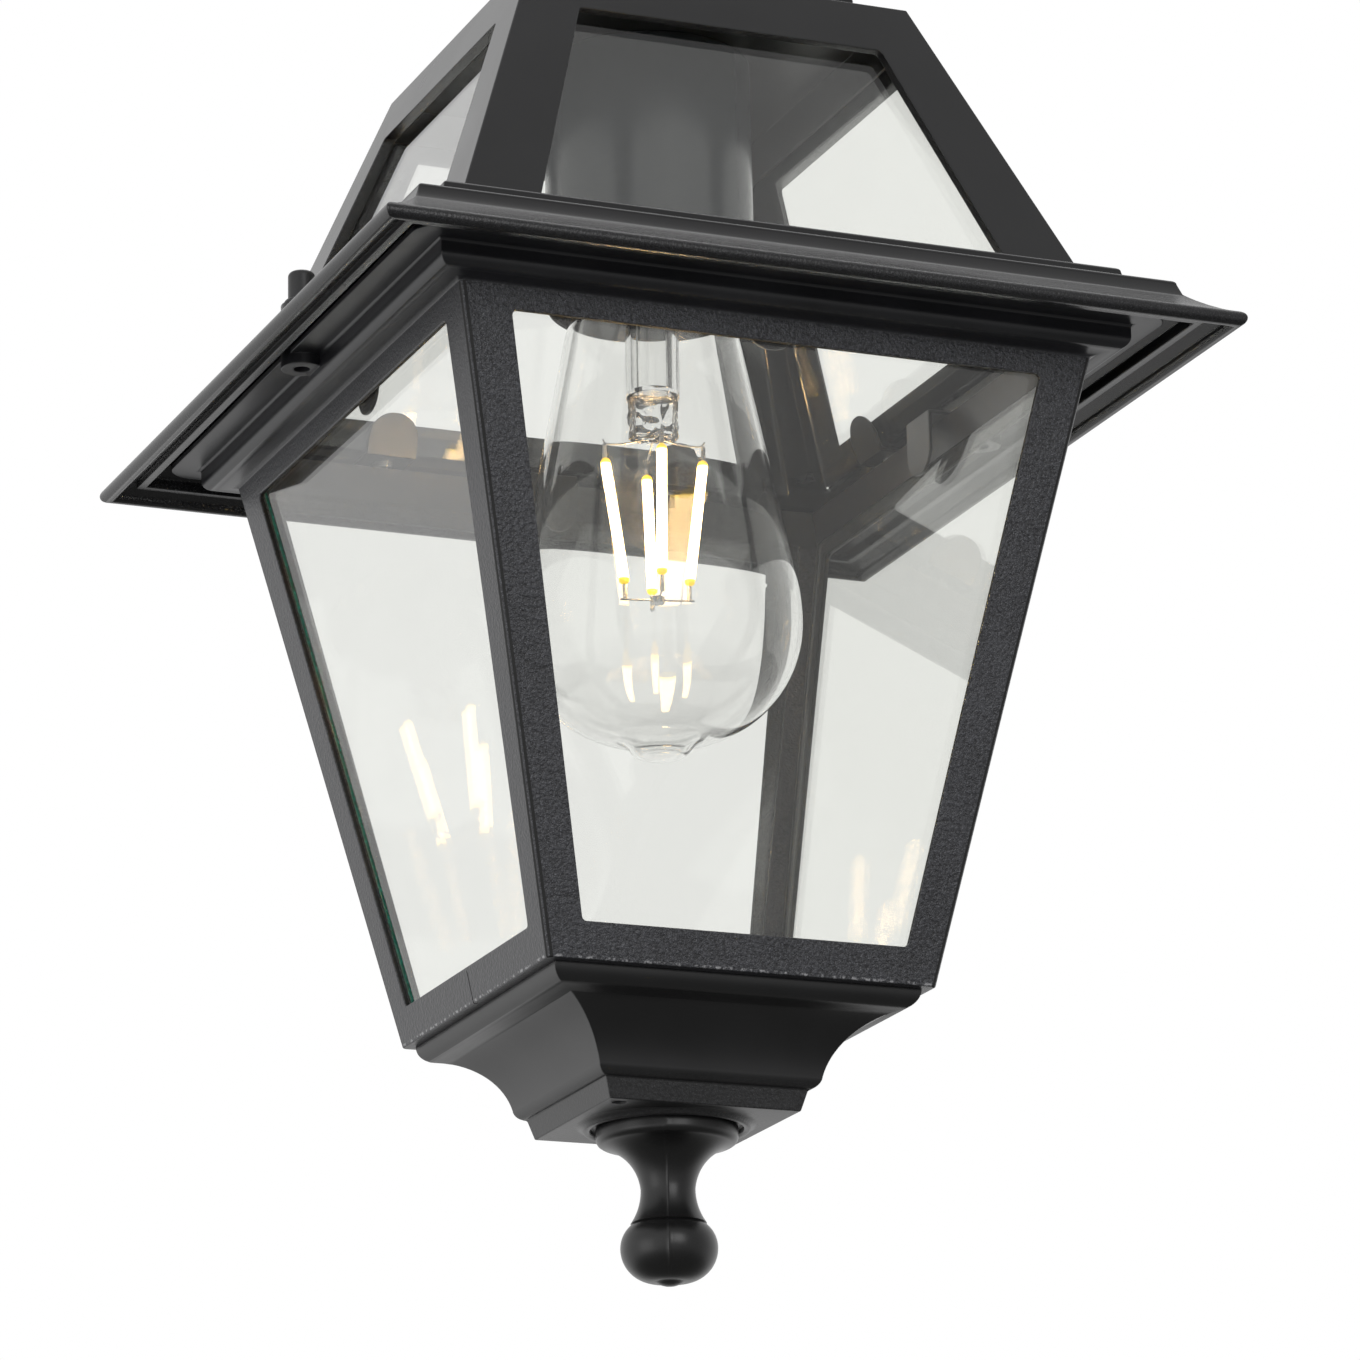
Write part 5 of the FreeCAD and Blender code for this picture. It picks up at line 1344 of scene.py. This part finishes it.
@dataclass
class Studio:
    """The camera, the pale floor and the soft light round the lantern."""

    camera_at: tuple[float, float, float] = (-0.4769, -1.1406, -0.5589)
    azimuth: float = -22.92
    elevation: float = -16.62
    roll: float = -1.25
    focal_pixels: float = 5858.92
    frame_pixels: float = 1360.0
    sensor: float = 36.0
    floor_level: float = -0.78
    floor_size: float = 5.0
    floor_clear: Span = (0.5, 1.2)
    floor_tones: tuple[Colour, Colour] = ((0.82, 0.82, 0.81), (0.86, 0.86, 0.85))
    floor_rough: float = 0.7
    floor_clouds: float = 3.0
    bounce: Colour = (0.16, 0.16, 0.155)
    clip: Span = (0.05, 50.0)
    camera_side: tuple[float, float, float] = (0.45, -0.89, 0.0)
    ground_range: Span = (-0.5, 0.3)
    ground_lights: Span = (0.75, 0.1)
    below_range: Span = (-0.75, -0.2)
    high_range: Span = (0.3, 0.9)
    zenith_light: float = 0.66
    camera_side_light: float = 0.5
    aim: tuple[float, float, float] = (0.0, 0.0, -0.16)
    soft_lamps: tuple[SoftLamp, ...] = (
        SoftLamp("front_soft", (-0.02, -1.2, 0.06), 0.62, 3.2),
        SoftLamp("left_soft", (-1.5, -0.3, -0.4), 0.9, 2.2),
        SoftLamp("top_soft", (0.2, 0.3, 1.4), 1.1, 4.0),
    )

    def build(self) -> None:
        """Set up camera, floor and light."""
        self.camera()
        self.floor()
        self.world()
        self.lamps()

    def camera(self) -> None:
        """Stand the camera where the picture was taken."""
        turn, rise, roll = (math.radians(a) for a in (self.azimuth, self.elevation, self.roll))
        back = Vector((math.sin(turn) * math.cos(rise), -math.cos(turn) * math.cos(rise), math.sin(rise)))
        right = Vector((0.0, 0.0, 1.0)).cross(back).normalized()
        above = back.cross(right)
        tilted = right * math.cos(roll) + above * math.sin(roll)
        data = bpy.data.cameras.new("camera")
        data.sensor_width = self.sensor
        data.lens = self.sensor * self.focal_pixels / self.frame_pixels
        data.clip_start, data.clip_end = self.clip
        camera = bpy.data.objects.new("camera", data)
        axes = Matrix((tilted, back.cross(tilted), back)).transposed().to_4x4()
        camera.matrix_world = Matrix.Translation(Vector(self.camera_at)) @ axes
        link(camera)
        bpy.context.scene.camera = camera

    def floor(self) -> None:
        """Lay a pale floor that clears towards its rim and is open when seen from below."""
        clear_selection()
        bpy.ops.mesh.primitive_plane_add(size=self.floor_size, location=(0.0, 0.0, self.floor_level))
        floor = bpy.context.active_object
        floor.name = "floor"
        material = bpy.data.materials.new("pale_floor")
        bench = NodeBench.on(material)
        place = bench.object_place()
        clouds = bench.noise(place, self.floor_clouds, 4.0)
        pale = bench.blend(clouds, *(opaque(tone) for tone in self.floor_tones))
        seen = bench.add("LightPath").outputs["Is Camera Ray"]
        tone = bench.blend(seen, opaque(self.bounce), pale)
        shader = bench.add("BsdfPrincipled", {"Base Color": tone, "Roughness": self.floor_rough})
        away = bench.add("VectorMath", {0: place}, operation="LENGTH").outputs["Value"]
        rim = bench.remap(away, *self.floor_clear)
        backface = bench.add("NewGeometry").outputs["Backfacing"]
        open_way = bench.add("BsdfTransparent")
        ways = bench.add("MixShader", {
            0: bench.sum("MAXIMUM", backface, rim), 1: shader.outputs[0], 2: open_way.outputs[0]})
        bench.add("OutputMaterial", {"Surface": ways.outputs[0]})
        floor.data.materials.append(material)
        floor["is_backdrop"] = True

    def world(self) -> None:
        """Surround the lantern with white, dimmer towards the camera's side and dark below."""
        world = bpy.data.worlds.new("white_room")
        bench = NodeBench.on(world)
        way = bench.add("TexCoord").outputs["Generated"]
        rise = bench.add("SeparateXYZ", {0: way}).outputs["Z"]
        towards = bench.add("VectorMath", {0: way, 1: self.camera_side}, operation="DOT_PRODUCT")
        front = towards.outputs["Value"]
        ground = bench.remap(front, *self.ground_range, *self.ground_lights)
        below = bench.remap(rise, *self.below_range, ground)
        above = bench.remap(rise, *self.high_range, 1.0, self.zenith_light)
        dimmed = bench.remap(front, *self.high_range, 1.0, self.camera_side_light)
        room = bench.sum("MULTIPLY", bench.sum("MULTIPLY", below, above), dimmed)
        path = bench.add("LightPath")
        seen = bench.sum("MAXIMUM", path.outputs["Is Camera Ray"], path.outputs["Is Transmission Ray"])
        strength = bench.sum("MAXIMUM", seen, room)
        white = bench.add("Background", {"Color": opaque(grey(1.0)), "Strength": strength})
        bench.add("OutputWorld", {"Surface": white.outputs[0]})
        bpy.context.scene.world = world

    def lamps(self) -> None:
        """Hang the soft lamps."""
        for soft in self.soft_lamps:
            data = bpy.data.lights.new(soft.name, "AREA")
            data.size = soft.size
            data.energy = soft.energy
            lamp = bpy.data.objects.new(soft.name, data)
            lamp.location = soft.at
            lamp.visible_camera = False
            lamp.visible_transmission = False
            way = Vector(self.aim) - Vector(soft.at)
            lamp.rotation_euler = way.to_track_quat("-Z", "Y").to_euler()
            link(lamp)


def write_sizes() -> None:
    """Gather the solids' box and the dressed model's box."""
    boxes = {"cad": CAD_BOX, "visual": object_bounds()}
    plain = {name: [list(low), list(high)] for name, (low, high) in boxes.items()}


def main() -> None:
    """Build the lantern piece by piece, then the studio round it."""
    logging.basicConfig(level=logging.INFO, format="%(name)s: %(message)s")
    bpy.context.scene.view_settings.view_transform = "Standard"
    for assembly in (Studio(), Castings(), Glazing(), GlassFixings(), CrossScrews(), TurnedTrim(),
                     LampHolder(), FilamentLamp()):
        assembly.build()
    write_sizes()


if __name__ == "__main__":
    main()
